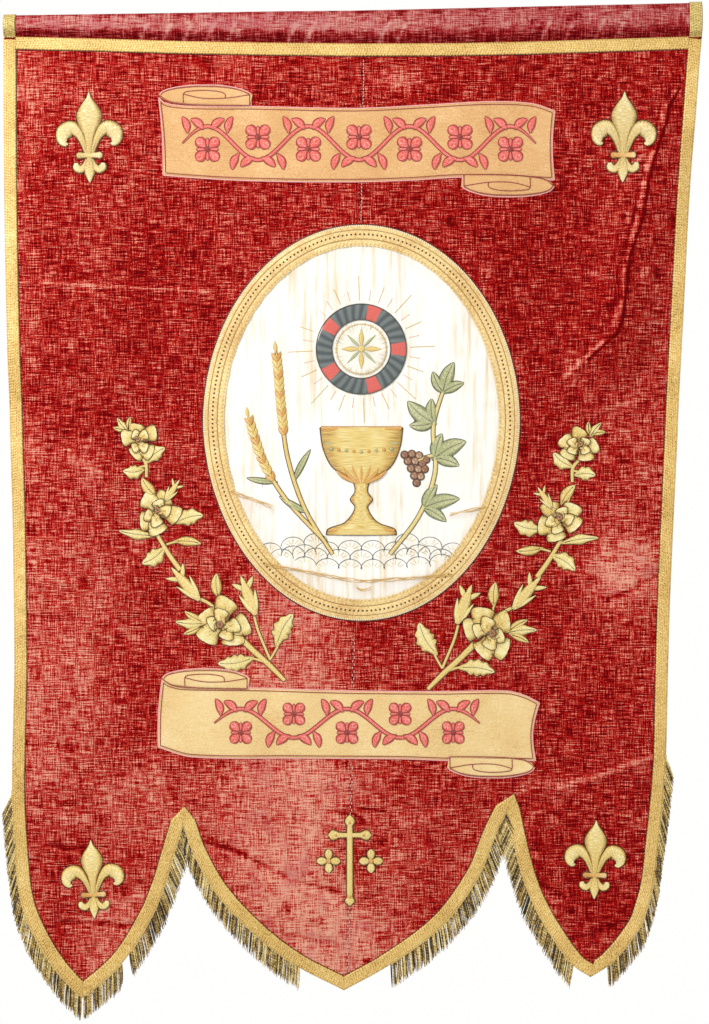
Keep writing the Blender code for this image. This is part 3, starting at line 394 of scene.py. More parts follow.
def cordLook(name, light, dark, pitch):
    look = Look(name, Roughness=0.5, Specular_IOR_Level=0.4)
    u, v = look.across()
    twist = (u / pitch + v).wave()
    wild = look.noise(500)
    look.colour(look.ramp(twist * 0.8 + (wild - 0.5) * 0.6, [(0.1, dark), (0.6, light)]))
    look.bump(twist, 0.0003, 0.6)
    return look.material


def fringeLook():
    look = Look("bullion", Roughness=0.42, Metallic=0.2, Specular_IOR_Level=0.5)
    u, v = look.across()
    twist = (u / 0.0034 + v).wave()
    tone = look.attribute("tone")
    wild = look.noise(240, detail=3.0)
    lit = twist * 0.30 + tone * 0.62 + (wild - 0.5) * 1.1 + 0.07
    look.colour(look.ramp(lit, [
        (0.06, shade(30, 20, 8)), (0.26, shade(92, 66, 26)), (0.48, shade(168, 132, 62)),
        (0.72, shade(224, 192, 112)), (0.95, shade(250, 232, 164))]))
    look.bump(twist, 0.0005, 0.7)
    return look.material


def patchLook():  # slate and red silk by turns round the ring
    look = Look("ringSilk", Roughness=0.5, Specular_IOR_Level=0.45)
    u, v = look.across()
    around = 0.2922  # metres round the middle of the ring
    turn = (u / around * 5.0).saw()
    red = (turn - 0.5).size().step(0.36, 0.38)
    thread = look.noise(1.0, (1500, 14, 1), 2.0, start=look.stitchMap())
    spoke = (u / around * 30.0 + v * 0.4).wave()
    slate = look.ramp(thread * 0.6 + spoke * 0.4, [(0.2, shade(52, 62, 66)), (0.8, shade(120, 128, 124))])
    warm = look.ramp(thread, [(0.3, shade(196, 64, 60)), (0.7, shade(236, 120, 104))])
    look.colour(look.blend(red, slate, warm))
    look.bump(thread + spoke * 0.5, 0.0003, 0.7)
    return look.material


crimson = [shade(90, 0, 2), shade(146, 0, 3), shade(178, 10, 8), shade(192, 48, 40), shade(208, 116, 96),
           shade(232, 168, 144)]
mauve = [shade(84, 0, 4), shade(130, 2, 10), shade(156, 24, 26), shade(174, 74, 74), shade(186, 108, 102),
         shade(208, 150, 138)]
looks = {
    "velvet": velvetLook("wornVelvetWithPaintedLight", crimson, shade(196, 104, 104)),
    "sleeve": velvetLook("sleeveVelvet", mauve, shade(186, 106, 112), 0.86),
    "back": backLook(),
    "braid": braidLook("goldGalloon", shade(238, 198, 110), shade(210, 166, 78), shade(136, 94, 34), 0.0034),
    # the galloon over the sleeve's ends, in a duller olive gold
    "oliveBraid": braidLook("oliveGalloon", shade(222, 196, 112), shade(186, 156, 76), shade(120, 92, 40), 0.0034),
    "frame": frameLook(),
    "gold": satinLook("goldSatin", shade(250, 226, 136), shade(214, 170, 76)),
    "straw": satinLook("strawSatin", shade(244, 218, 144), shade(200, 164, 86)),
    "amber": satinLook("amberSatin", shade(240, 184, 84), shade(200, 134, 48)),
    "pale": satinLook("paleSatin", shade(252, 236, 158), shade(222, 188, 98)),
    "white": satinLook("whiteSatin", shade(255, 253, 244), shade(246, 238, 218)),
    "sage": satinLook("sageSatin", shade(206, 206, 150), shade(146, 152, 98)),
    "red": satinLook("redSatin", shade(244, 106, 92), shade(224, 76, 68)),
    "brown": satinLook("brownSatin", shade(180, 124, 84), shade(118, 70, 44)),
    "silk": silkLook(),
    "ring": patchLook(),
    "ribbonTop": ribbonLook("goldClothTop", shade(232, 184, 124), shade(214, 160, 98)),
    "ribbonFoot": ribbonLook("goldClothFoot", shade(244, 214, 152), shade(230, 192, 126)),
    "outline": cordLook("outlineThread", shade(98, 60, 24), shade(46, 26, 10), 0.0016),
    # painted shadow: the dark cord where braids and the oval frame lie on the velvet
    "contact": cordLook("paintedShadowCord", shade(96, 8, 10), shade(48, 2, 4), 0.0024),
    "pinkCord": cordLook("pinkCord", shade(255, 200, 190), shade(236, 146, 138), 0.0018),
    "redCord": cordLook("redCord", shade(176, 60, 58), shade(122, 28, 30), 0.0016),
    "goldCord": cordLook("goldCord", shade(250, 222, 146), shade(180, 134, 62), 0.0024),
    "greyThread": cordLook("greyThread", shade(104, 108, 96), shade(56, 60, 54), 0.0016),
    "ochreThread": cordLook("ochreThread", shade(244, 204, 122), shade(200, 150, 78), 0.0020),
    "seam": cordLook("seamThread", shade(255, 214, 200), shade(228, 168, 150), 0.0022),
    "fringe": fringeLook(),
}
print("looks made")


# The hang of the cloth

def awayFrom(x, z, line):  # distance from each place to a line, in mm
    best = np.full(x.shape, 1e9)
    for (x0, z0), (x1, z1) in zip(line, line[1:]):
        dx, dz = x1 - x0, z1 - z0
        share = np.clip(((x - x0) * dx + (z - z0) * dz) / (dx * dx + dz * dz), 0, 1)
        best = np.minimum(best, np.hypot(x - x0 - dx * share, z - z0 - dz * share))
    return best


def raised(x, z, line, height, half):  # a soft ridge along a line
    away = np.minimum(awayFrom(x, z, line) / (2 * half), 1)
    return height * (1 - away) ** 2 * (1 + 2 * away)


def nearestCrease(x, z):
    near = np.full(x.shape, 1e9)
    for line, *_ in creases:
        near = np.minimum(near, awayFrom(x, z, line))
    return near


def cosSin(degrees):
    return math.cos(math.radians(degrees)), math.sin(math.radians(degrees))


def turns(count):  # angles evenly round
    return np.arange(count) * 2 * math.pi / count


def circle(x, z, radius, count):
    return [(x + radius * math.cos(a), z + radius * math.sin(a)) for a in turns(count)]


def rayRows(x, z, c, s, rows):  # rows of distance and half width along a ray, as rows of x, z, half width
    return [(x + c * reach, z + s * reach, half) for reach, half in rows]


chance = random.Random(11)
ripples = [(chance.uniform(0.03, 0.16), chance.uniform(0, 6.28), chance.uniform(0, 6.28)) for _ in range(14)]


def hang(x, z):  # how far out the folds and creases carry the cloth
    x, z = np.asarray(x, float), np.asarray(z, float)
    out = np.zeros(x.shape)
    for x0, z0, x1, z1, height, half in folds:
        away = np.minimum(awayFrom(x, z, [(x0, z0), (x1, z1)]) / (2 * half), 1)
        out += height * np.cos(away * math.pi / 2) ** 2
    for line, height, half, _ in creases:
        out += raised(x, z, line, height, half)
    for wave, turn, phase in ripples:
        out += 0.10 * np.sin(wave * (x * math.cos(turn) + z * math.sin(turn)) + phase)
    top, full = cloth["straightAbove"], cloth["foldsFullBelow"]
    return out * np.clip((top - z) / (top - full), 0, 1)


def wearAndCreaseShading(x, z):
    wear = np.zeros(x.shape)
    for px, pz, halfX, halfZ, turn, amount in wornPlaces:
        c, s = cosSin(turn)
        u, v = ((x - px) * c + (z - pz) * s) / halfX, ((z - pz) * c - (x - px) * s) / halfZ
        wear += amount * np.exp(-(np.maximum(u * u + v * v - 0.35, 0)) * 0.9)
    # painted shade and painted highlight along the creases, added into the same values as the rubbed places
    for line, _, half, tint in creases:
        wear += 1.5 * tint * np.exp(-(awayFrom(x, z, line) / (half * 0.55)) ** 2)
    return np.where(wear > 0, 0.9 * np.tanh(wear / 0.9), wear)


def catmull(points, spacing, closed=False):  # a smooth line through points, evenly cut
    p = np.asarray(points, float)
    n = len(p)
    made = []
    for i in range(n if closed else n - 1):
        if closed:
            p0, p1, p2, p3 = p[i - 1], p[i], p[(i + 1) % n], p[(i + 2) % n]
        else:
            p0, p1, p2, p3 = p[max(i - 1, 0)], p[i], p[i + 1], p[min(i + 2, n - 1)]
        d = max(np.linalg.norm(p2 - p1), 1e-6)
        m1 = (p2 - p0) * d / max(d + np.linalg.norm(p1 - p0), 1e-6)
        m2 = (p3 - p1) * d / max(d + np.linalg.norm(p3 - p2), 1e-6)
        t = np.linspace(0, 1, 13)[:-1, None]
        a, b = t ** 2, t ** 3
        made.append(p1 * (2 * b - 3 * a + 1) + m1 * (b - 2 * a + t) + p2 * (3 * a - 2 * b) + m2 * (b - a))
    made.append(p[:1] if closed else p[-1:])
    return even(np.concatenate(made), spacing=spacing)


def even(line, spacing=None, count=None):
    line = np.asarray(line, float)
    run = runOf(line)
    count = count or max(int(round(run[-1] / spacing)), 1) + 1
    at = np.linspace(0, run[-1], count)
    return np.stack([np.interp(at, run, line[:, k]) for k in range(line.shape[1])], 1)


def runOf(line):
    return np.concatenate([[0], np.cumsum(np.linalg.norm(np.diff(line, axis=0), axis=1))])


def leftOf(line):
    along = np.gradient(line, axis=0)
    along /= np.maximum(np.linalg.norm(along, axis=1), 1e-9)[:, None]
    return np.stack([-along[:, 1], along[:, 0]], 1)


def hemInset(z):
    share = (cloth["fringeTop"] - z) / (cloth["fringeTop"] - cloth["fringeFull"])
    return cloth["hemInset"] * np.clip(share, 0, 1)


def cornerAt(name, depth):
    row = np.array(corners[name])
    outer, hem, inner = row[:2], row[2:4], row[4:]
    if depth <= cloth["hemInset"]:
        return outer + (hem - outer) * depth / cloth["hemInset"]
    return hem + (inner - hem) * (depth - cloth["hemInset"]) / (cloth["braidWidth"] - cloth["hemInset"])


def edgeLine(name, inset, spacing=1.3):
    start, end, points = edges[name]
    line = catmull(points, spacing)
    depth = inset(line[:, 1]) if callable(inset) else np.full(len(line), float(inset))
    moved = line + leftOf(line) * depth[:, None]
    for corner, index in ((start, 0), (end, -1)):
        if corner:
            row = np.array(corners[corner])
            cut = row[4:] - row[:2]
            side = (moved[:, 0] - row[0]) * cut[1] - (moved[:, 1] - row[1]) * cut[0]
            clear = 30  # a point of the line past the mitre
            beyond = side[clear if index == 0 else -1 - clear]
            keep = (side * beyond > 0) | (np.hypot(moved[:, 0] - row[0], moved[:, 1] - row[1]) > cloth["mitreReach"])
            moved = moved[keep]
            tip = cornerAt(corner, depth[index])[None]
            moved = np.concatenate([tip, moved] if index == 0 else [moved, tip])
    return moved


def ovalLine(inset, count):
    angle = turns(count)
    c, s = np.cos(angle), np.sin(angle)
    narrow = 1 - oval["narrows"] * np.maximum(-s, 0) * np.abs(c)
    return np.stack([oval["x"] + (oval["rx"] - inset) * c * narrow, oval["z"] + (oval["rz"] - inset) * s], 1)


def sleeveAt(x):
    rows = np.array(sleeveRows)
    return [np.interp(x, rows[:, 0], rows[:, k]) for k in (1, 2, 3)]


def space(x, z, out):  # places in metres
    return np.stack([np.asarray(x) / 1000, (cloth["velvetThick"] / 2 - np.asarray(out)) / 1000,
                     np.asarray(z) / 1000], -1)


# Making pieces

def grid(points, u, v, look=0, tone=0.0):  # an open surface of rows of places, u for each row and v across it
    n, m = points.shape[:2]
    index = np.arange(n * m).reshape(n, m)
    quads = np.stack([index[:-1, :-1], index[1:, :-1], index[1:, 1:], index[:-1, 1:]], -1).reshape(-1, 4)
    co = points.reshape(-1, 3)
    normal = np.cross(co[quads[:, 1]] - co[quads[:, 0]], co[quads[:, 3]] - co[quads[:, 0]]).sum(0)
    if normal[1] > 0:
        quads = quads[:, ::-1]
    uv = np.stack(np.broadcast_arrays(u[:, None], v[None]), -1).reshape(-1, 2)
    return {"co": co, "faces": quads.tolist(), "uv": uv[quads].reshape(-1, 2), "look": look, "tone": tone}


def flatPart(co, faces):  # a surface that is mapped by its front view, in metres
    used = [i for face in faces for i in face]
    return {"co": co, "faces": faces, "uv": co[used][:, [0, 2]], "look": 0, "tone": 0.0}


def loft(rings, u, v, look=0, tone=0.0, closed=False):  # a shell through rings of k places, capped or closed up
    n, k = rings.shape[:2]
    co = rings.reshape(-1, 3)
    rows = np.arange(n if closed else n - 1)
    a = (rows[:, None] * k + np.arange(k)[None]).ravel()
    b = (rows[:, None] * k + (np.arange(k)[None] + 1) % k).ravel()
    c, d = (a + k) % (n * k), (b + k) % (n * k)
    quads = np.stack([a, b, d, c], -1)
    vNext = np.append(v[1:], v[-1] if v[-1] < v[0] else 1.0)
    u2 = np.append(u, u[-1] + (u[1] - u[0]))
    uv = np.empty((len(rows), k, 4, 2))
    uv[..., 0, 0] = uv[..., 1, 0] = u2[rows][:, None]
    uv[..., 2, 0] = uv[..., 3, 0] = u2[rows + 1][:, None]
    uv[..., 0, 1] = uv[..., 3, 1] = v[None]
    uv[..., 1, 1] = uv[..., 2, 1] = vNext[None]
    p, q, r, s = (co[quads[:, i]] for i in range(4))
    middle = co.mean(0)
    size = np.einsum("ij,ij->i", p - middle, np.cross(q - middle, r - middle)).sum()
    size += np.einsum("ij,ij->i", p - middle, np.cross(r - middle, s - middle)).sum()
    uv = uv.reshape(-1, 4, 2)
    turned = size < 0
    if turned:
        quads, uv = quads[:, ::-1], uv[:, ::-1]
    faces, loops = quads.tolist(), [uv.reshape(-1, 2)]
    if not closed:
        for ring, turn in ((0, -1), (n - 1, 1)):
            cap = [ring * k + j for j in range(k)][::turn * (-1 if turned else 1)]
            faces.append(cap)
            loops.append(np.array([(u[ring], v[j % k]) for j in cap]))
    return {"co": co, "faces": faces, "uv": np.concatenate(loops), "look": look, "tone": tone}


def assemble(name, parts, lookNames, nodes=(), smooth=50, wear=None):
    start, co, faces, uv, tones, which = 0, [], [], [], [], []
    for part in parts:
        co.append(part["co"])
        faces += [[i + start for i in f] for f in part["faces"]]
        uv.append(part["uv"])
        tones.append(np.full(len(part["co"]), part["tone"]))
        look = part["look"]  # a look's name, or its place in the piece's list
        which += [lookNames.index(look) if isinstance(look, str) else look] * len(part["faces"])
        start += len(part["co"])
    co = np.concatenate(co)
    mesh = bpy.data.meshes.new(name)
    mesh.from_pydata(co.tolist(), [], faces)
    mesh.uv_layers.new(name="stitch").data.foreach_set("uv", np.concatenate(uv).astype(np.float32).ravel())
    mesh.attributes.new("tone", "FLOAT", "POINT").data.foreach_set("value", np.concatenate(tones).astype(np.float32))
    if wear is not None:
        mesh.attributes.new("wear", "FLOAT", "POINT").data.foreach_set("value", wear(co).astype(np.float32))
    for lookName in lookNames:
        mesh.materials.append(looks[lookName])
    mesh.polygons.foreach_set("material_index", which)
    piece = bpy.data.objects.new(name, mesh)
    bpy.context.scene.collection.objects.link(piece)
    bpy.context.view_layer.objects.active = piece
    piece.select_set(True)
    bpy.ops.object.shade_smooth_by_angle(angle=math.radians(smooth))
    piece.select_set(False)
    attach(piece, "root")
    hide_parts(*nodes)
    return piece


def thicken(piece, thick, backLookIndex=0):
    bpy.context.view_layer.objects.active = piece
    piece.select_set(True)
    wall = piece.modifiers.new("wall", "SOLIDIFY")
    wall.thickness = thick / 1000
    wall.offset = -1
    wall.use_rim = True
    wall.material_offset = backLookIndex
    bpy.ops.object.modifier_apply(modifier=wall.name)
    piece.select_set(False)


def faceOutwards(piece):
    bpy.context.view_layer.objects.active = piece
    bpy.ops.object.mode_set(mode="EDIT")
    bpy.ops.mesh.select_all(action="SELECT")
    bpy.ops.mesh.normals_make_consistent(inside=False)
    bpy.ops.object.mode_set(mode="OBJECT")


def backed(x, z, front, base):  # a strip's rows with their two ends brought down to its back
    ends = [-1, 0]
    return np.concatenate([front, space(x[:, ends], z[:, ends], hang(x[:, ends], z[:, ends]) + base)], 1)


def cord(line, out, radius, look, sides=6, spacing=2.0, tone=0.0, closed=False):  # a thread laid on the cloth
    path = catmull(line, spacing, closed)
    if closed:
        path = path[:-1]
    x, z = path[:, 0], path[:, 1]
    centre = space(x, z, hang(x, z) + out)
    side = leftOf(path)
    angle = turns(sides)
    sideways = np.stack([side[:, 0], np.zeros(len(path)), side[:, 1]], -1)
    rings = centre[:, None] + (sideways[:, None] * np.cos(angle)[None, :, None]
                               + np.array([0, -1, 0]) * np.sin(angle)[None, :, None]) * radius / 1000
    return loft(rings, runOf(path) / 1000, np.arange(sides) / sides, look, tone, closed)


def stroke(rows, base, puff, look, columns=8, spacing=1.6, tone=0.0, rim=0.5, split=0.0, paintedShadeToTip=0.0):
    # a padded brush stroke through rows of x, z, half width, with its satin stitches across it
    path = catmull(rows, spacing)
    middle, half = path[:, :2], np.maximum(path[:, 2], 0.15)
    side = leftOf(middle)
    v = np.linspace(0, 1, columns + 1)
    places = middle[:, None] + side[:, None] * ((1 - 2 * v)[None, :, None] * half[:, None, None])
    x, z = places[..., 0], places[..., 1]
    round1 = np.sqrt(np.maximum(1 - np.abs(2 * v - 1) ** 2.4, 0))[None]
    lift = puff * np.minimum(half / 5.0, 1)[:, None] * round1
    if split:  # a furrow along the middle, as a leaf's vein
        lift = lift - split * np.exp(-((v - 0.5) / 0.08) ** 2)[None]
    out = hang(x, z) + base + rim * (round1 > 0) + lift
    out[:, 0] = hang(x[:, 0], z[:, 0]) + base
    out[:, -1] = hang(x[:, -1], z[:, -1]) + base
    # painted shade at the start of each stroke grading to painted highlight at its end: a petal's or leaf's foot
    # darker, its tip lighter
    tone = np.repeat(tone + paintedShadeToTip * (np.linspace(0, 1, len(path)) - 0.5), columns + 1)
    return loft(space(x, z, out), runOf(middle) / 1000, v, look, tone)


def outlineOf(rows, spacing=1.6, grow=0.0):
    path = catmull(rows, spacing)
    middle, half = path[:, :2], np.maximum(path[:, 2], 0.15) + grow
    side = leftOf(middle) * half[:, None]
    return np.concatenate([middle + side, (middle - side)[::-1]])


def roundPatch(x, z, radius, base, puff, look, tone=0.0, count=28, rings=6, points=0, scallop=0.0, thick=0.6):
    # a domed patch, scalloped where points is given
    angle = turns(count)
    share = np.linspace(0, 1, rings + 1)[1:]
    reach = radius * (1 - scallop + scallop * np.cos(points * angle))
    px = x + share[:, None] * (reach * np.cos(angle))[None]
    pz = z + share[:, None] * (reach * np.sin(angle))[None]
    lift = thick + puff * np.sqrt(np.maximum(1 - share ** 2, 0))[:, None] + 0 * px
    lift[-1] = 0
    top = space(px, pz, hang(px, pz) + base + lift)
    centre = space(x, z, hang(x, z) + base + thick + puff)
    co = np.concatenate([top.reshape(-1, 3), centre[None]])
    faces, uv = [], []
    hub = len(co) - 1
    for j in range(count):
        n = (j + 1) % count
        faces.append([hub, n, j])
        uv += [(0, 0.5), (angle[j] * radius / 2000 + 0.001, 0.5), (angle[j] * radius / 2000, 0.5)]
        for i in range(rings - 1):
            faces.append([i * count + j, i * count + n, (i + 1) * count + n, (i + 1) * count + j])
            a0, a1 = angle[j] * radius / 2000, (angle[j] + angle[1]) * radius / 2000
            w0, w1 = 0.5 + share[i] / 2, 0.5 + share[i + 1] / 2
            uv += [(a0, w0), (a1, w0), (a1, w1), (a0, w1)]
    faces.append([(rings - 1) * count + j for j in range(count)])
    uv += [(0, 1)] * count
    return {"co": co, "faces": faces, "uv": np.array(uv), "look": look, "tone": tone}


def rimCord(rows, spacing, grow, out, radius, look, step=2.0):  # a thread round a stroke
    return cord(outlineOf(rows, spacing, grow), out, radius, look, 5, step, closed=True)


shown = {}


# Velvet panels, two loom widths seamed down the middle

velvet = {"pitch": 5.4, "finePitch": 2.1, "fineReach": 8.0, "edgeStep": 3.4, "seamTop": 12.0,
          "seamFoot": -9.0, "seamDip": 0.9, "seamDipWide": 4.5}


def seamX(z):
    return velvet["seamTop"] + (velvet["seamFoot"] - velvet["seamTop"]) * z / corners["tipCentre"][3]


def insideOf(x, z, outline):
    found = np.zeros(x.shape, bool)
    for (ax, az), (bx, bz) in zip(outline, np.roll(outline, -1, axis=0)):
        if az != bz:
            cross = (az > z) != (bz > z)
            found ^= cross & (x < ax + (z - az) * (bx - ax) / (bz - az))
    return found


def lattice(outline, pitch):
    low, high = outline.min(0) - pitch, outline.max(0) + pitch
    xs, zs = np.arange(low[0], high[0], pitch), np.arange(low[1], high[1], pitch * 0.866)
    x, z = np.meshgrid(xs, zs)
    x = x + (np.arange(len(zs)) % 2)[:, None] * pitch / 2
    return x.ravel(), z.ravel()


def velvetPanel(name, outline, node):
    rim = even(np.concatenate([outline, outline[:1]]), spacing=velvet["pitch"] * 0.8)[:-1]
    x, z = lattice(rim, velvet["pitch"])
    fx, fz = lattice(rim, velvet["finePitch"])
    fine = nearestCrease(fx, fz) < velvet["fineReach"]
    keep = nearestCrease(x, z) >= velvet["fineReach"] + velvet["finePitch"]
    x, z = np.concatenate([x[keep], fx[fine]]), np.concatenate([z[keep], fz[fine]])
    tree = KDTree(len(rim))
    for i, (rx, rz) in enumerate(rim):
        tree.insert((rx, rz, 0), i)
    tree.balance()
    within = insideOf(x, z, rim)
    x, z = x[within], z[within]
    clear = np.array([tree.find((a, b, 0))[2] for a, b in zip(x, z)]) > velvet["finePitch"] * 0.8
    x, z = x[clear], z[clear]
    points = [Vector(p) for p in rim] + [Vector(p) for p in zip(x, z)]
    loop = [(i, (i + 1) % len(rim)) for i in range(len(rim))]
    flat, _, faces, _, _, _ = delaunay_2d_cdt(points, loop, [], 1, 0.01)
    place = np.array([tuple(p) for p in flat])
    faces = np.array([tuple(f) for f in faces])
    x, z = place[:, 0], place[:, 1]
    dip = velvet["seamDip"] * np.exp(-(np.abs(x - seamX(z)) / velvet["seamDipWide"]) ** 2)
    co = space(x, z, cloth["velvetFront"] + hang(x, z) - dip)
    a, b, c = co[faces[:, 0]], co[faces[:, 1]], co[faces[:, 2]]
    if np.cross(b - a, c - a)[:, 1].sum() > 0:
        faces = faces[:, ::-1]
    piece = assemble(name, [flatPart(co, faces.tolist())], ["velvet", "back"], [node],
                     wear=lambda co: wearAndCreaseShading(co[:, 0] * 1000, co[:, 2] * 1000))
    thicken(piece, cloth["velvetThick"], 1)
    return piece


def hemLine(name):
    return edgeLine(name, hemInset, velvet["edgeStep"])


headX = np.linspace(*sleeveEnds, 240)
headLine = np.stack([headX, sleeveAt(headX)[1] - cloth["neck"] + 1.5], 1)
leftSide, rightSide = hemLine("side_left"), hemLine("side_right")
leftSide[0, 1], rightSide[-1, 1] = headLine[0, 1], headLine[-1, 1]
leftCentre, rightCentre = hemLine("centre_left"), hemLine("centre_right")
seamZ = np.linspace(-44, -1219, 300)
seamLine = np.stack([seamX(seamZ), seamZ], 1)
pastSeam = rightCentre[:, 0] > seamLine[-1, 0]
toSeam = rightCentre[~pastSeam]
leftOutline = np.concatenate([
    leftSide, hemLine("lobe_left")[1:], leftCentre[1:], toSeam[1:], seamLine[::-1],
    headLine[(headX < velvet["seamTop"] - 2) & (headX > leftSide[0, 0] + 2)][::-1]])
rightOutline = np.concatenate([
    rightCentre[pastSeam], hemLine("lobe_right")[1:], rightSide[1:],
    headLine[(headX > velvet["seamTop"] + 2) & (headX < rightSide[-1, 0] - 2)][::-1], seamLine])
shown["velvetLeft"] = velvetPanel("velvetLeft", leftOutline, "velvet_left")
shown["velvetRight"] = velvetPanel("velvetRight", rightOutline, "velvet_right")
print("velvet panels cut and hung")


# Rod sleeve, the same velvet folded over and sewn down

sleeve = {"wall": 1.9, "pitch": 4.0, "tuckDeep": 0.9, "tuckWide": 5.0, "tuckLean": 0.5, "pucker": 0.35,
          "around": 40}
tucks = [-268, -240, -214, -186, -160, -84, -62, 30, 52, 232, 262, 300, 326]


def sleeveSection(x, inner):  # rows of out, z round the section, front first from the seam up
    top, bottom, bulge = sleeveAt(x)
    mid, neck = cloth["velvetThick"] / 2, cloth["neck"]
    if inner:
        wall = sleeve["wall"]
        front = [(mid + 0.4, bottom + 4.0), (mid + 1.6, bottom + 5.0), (mid + 0.8 * bulge - wall, bottom + 8.5),
                 (mid + bulge - wall, (top + bottom) / 2), (mid + 0.75 * bulge - wall + 0.2, top - 6.5),
                 (mid, top - wall)]
    else:
        front = [(2.0, bottom - neck), (2.3, bottom + 1.0), (mid + 0.78 * bulge, bottom + 7.0),
                 (mid + bulge, (top + bottom) / 2), (mid + 0.75 * bulge, top - 5.5), (mid, top)]
    return np.array(front + [(2 * mid - out, z) for out, z in front[-2::-1]])


def sleeveRings(inner):
    first, last = sleeveEnds
    xs = np.linspace(first, last, int((last - first) / sleeve["pitch"]) + 1)
    wander = random.Random(5)
    waves = [(wander.uniform(0.05, 0.5), wander.uniform(0, 6.28)) for _ in range(9)]
    rings = []
    for x in xs:
        section = even(catmull(sleeveSection(x, inner), 1.0), count=sleeve["around"])
        out, z = section[:, 0], section[:, 1]
        top, bottom, _ = sleeveAt(x)
        if not inner:
            up = np.clip((z - bottom) / (top - bottom), 0, 1)
            low = np.clip(1 - np.abs(up - 0.18) / 0.24, 0, 1) * (out > 1)
            pull = sum(math.sin(w * x + p) for w, p in waves) / 4
            out = out + low * sleeve["pucker"] * pull
            for tuck in tucks:
                away = np.abs(x - tuck - (z - bottom) * sleeve["tuckLean"]) / sleeve["tuckWide"]
                out = out - low * sleeve["tuckDeep"] * np.clip(1 - away, 0, 1)
            ends = min(1, (x - first) / 5, (last - x) / 5)
            out = 1 + (out - 1) * (0.94 + 0.06 * ends)
        rings.append(space(np.full(len(out), x), z, out))
    return np.array(rings)


def tubeWithEnds(outerRings, innerRings):
    n, k = outerRings.shape[:2]
    co = np.concatenate([outerRings.reshape(-1, 3), innerRings.reshape(-1, 3)])
    faces = []
    for i in range(n - 1):
        for j in range(k):
            m = (j + 1) % k
            faces.append([i * k + j, i * k + m, (i + 1) * k + m, (i + 1) * k + j])
            faces.append([n * k + f for f in (i * k + j, (i + 1) * k + j, (i + 1) * k + m, i * k + m)])
    for i, turn in ((0, 1), (n - 1, -1)):
        for j in range(k):
            m = (j + 1) % k
            faces.append([i * k + j, n * k + i * k + j, n * k + i * k + m, i * k + m][::turn])
    return co, faces


def sleeveWearAndHighlight(co):
    x, z = co[:, 0] * 1000, co[:, 2] * 1000
    top, bottom, _ = sleeveAt(x)
    up = (z - bottom) / (top - bottom)
    ragged = 0.05 * np.sin(x / 7.3) + 0.04 * np.sin(x / 3.1 + 2 * np.sin(x / 29))
    # a pale band over the front of the roll, partly rubbed pile and partly painted highlight where light falls on the
    # bulge; the pale lip along the very top is painted highlight
    wear = 0.74 * np.exp(-(np.maximum(np.abs(up - 0.62) - 0.20 + ragged, 0) / 0.11) ** 2) + 0.4 * (up > 0.965)
    for tuck in tucks:  # the pile is lighter along each tuck
        away = np.abs(x - tuck - (z - bottom) * sleeve["tuckLean"])
        wear += 0.9 * np.exp(-(away / 1.9) ** 2) * (up < 0.6)
    return wear * np.where(x > 60, 0.8, 1.0) - 0.15


part = flatPart(*tubeWithEnds(sleeveRings(False), sleeveRings(True)))
shown["rodSleeve"] = assemble("rodSleeve", [part], ["sleeve"], ["rod_sleeve"], wear=sleeveWearAndHighlight)
faceOutwards(shown["rodSleeve"])
print("rod sleeve rolled")


# Galloon, woven with a zigzag, one edge straight and the other scalloped

galloon = {"pitch": 1.3, "columns": 8, "scallop": 4.4, "scallopDeep": 0.9, "zigzag": 3.4, "relief": 0.10,
           "topFrom": -424.6, "topTo": 417.6, "headRows": 92}


def zigzag(run, v):
    return galloon["relief"] * np.sin(2 * math.pi * (run[:, None] / galloon["zigzag"] + np.abs(v - 0.5)[None] * 2.1))


def braidStrip(outer, inner):
    count = max(len(outer), len(inner))
    outer, inner = even(outer, count=count), even(inner, count=count)
    run = (runOf(outer) + runOf(inner)) / 2
    wave = np.abs(np.sin(math.pi * run / galloon["scallop"])) - 0.5
    across = (inner - outer) / np.linalg.norm(inner - outer, axis=1)[:, None]
    inner = inner + across * (wave * galloon["scallopDeep"])[:, None]
    v = np.linspace(0, 1, galloon["columns"] + 1)
    places = outer[:, None] + (inner - outer)[:, None] * v[None, :, None]
    x, z = places[..., 0], places[..., 1]
    crown = 0.35 * (1 - np.abs(2 * v - 1) ** 6)
    out = hang(x, z) + cloth["velvetFront"] - cloth["sunk"] + cloth["braidThick"] + crown + zigzag(run, v)
    return grid(space(x, z, out), run / 1000, v)


def sewGalloon(name, part, look="braid"):
    piece = assemble(name + "_braid", [part], [look], [name])
    thicken(piece, cloth["braidThick"])
    shown[name] = piece


def contactShadowCord(line, behind, radius, closed=False):  # a dark cord laid as painted shadow along the line where a braid lies on the velvet
    return cord(line, cloth["velvetFront"] - behind, radius, "contact", 5, 4.0, closed=closed)


for name in edges:
    sewGalloon("galloon_" + name, braidStrip(edgeLine(name, 0), edgeLine(name, cloth["braidWidth"])))
# painted shadow inside the inner edge of each galloon
contact = [contactShadowCord(edgeLine(name, cloth["braidWidth"] + 0.5)[::3], 0.2, 0.75) for name in edges]
topX = np.linspace(galloon["topFrom"], galloon["topTo"], 648)
topLine = np.stack([topX, sleeveAt(topX)[1]], 1)
sewGalloon("galloon_top", braidStrip(topLine, topLine - [0, cloth["braidWidth"]]))

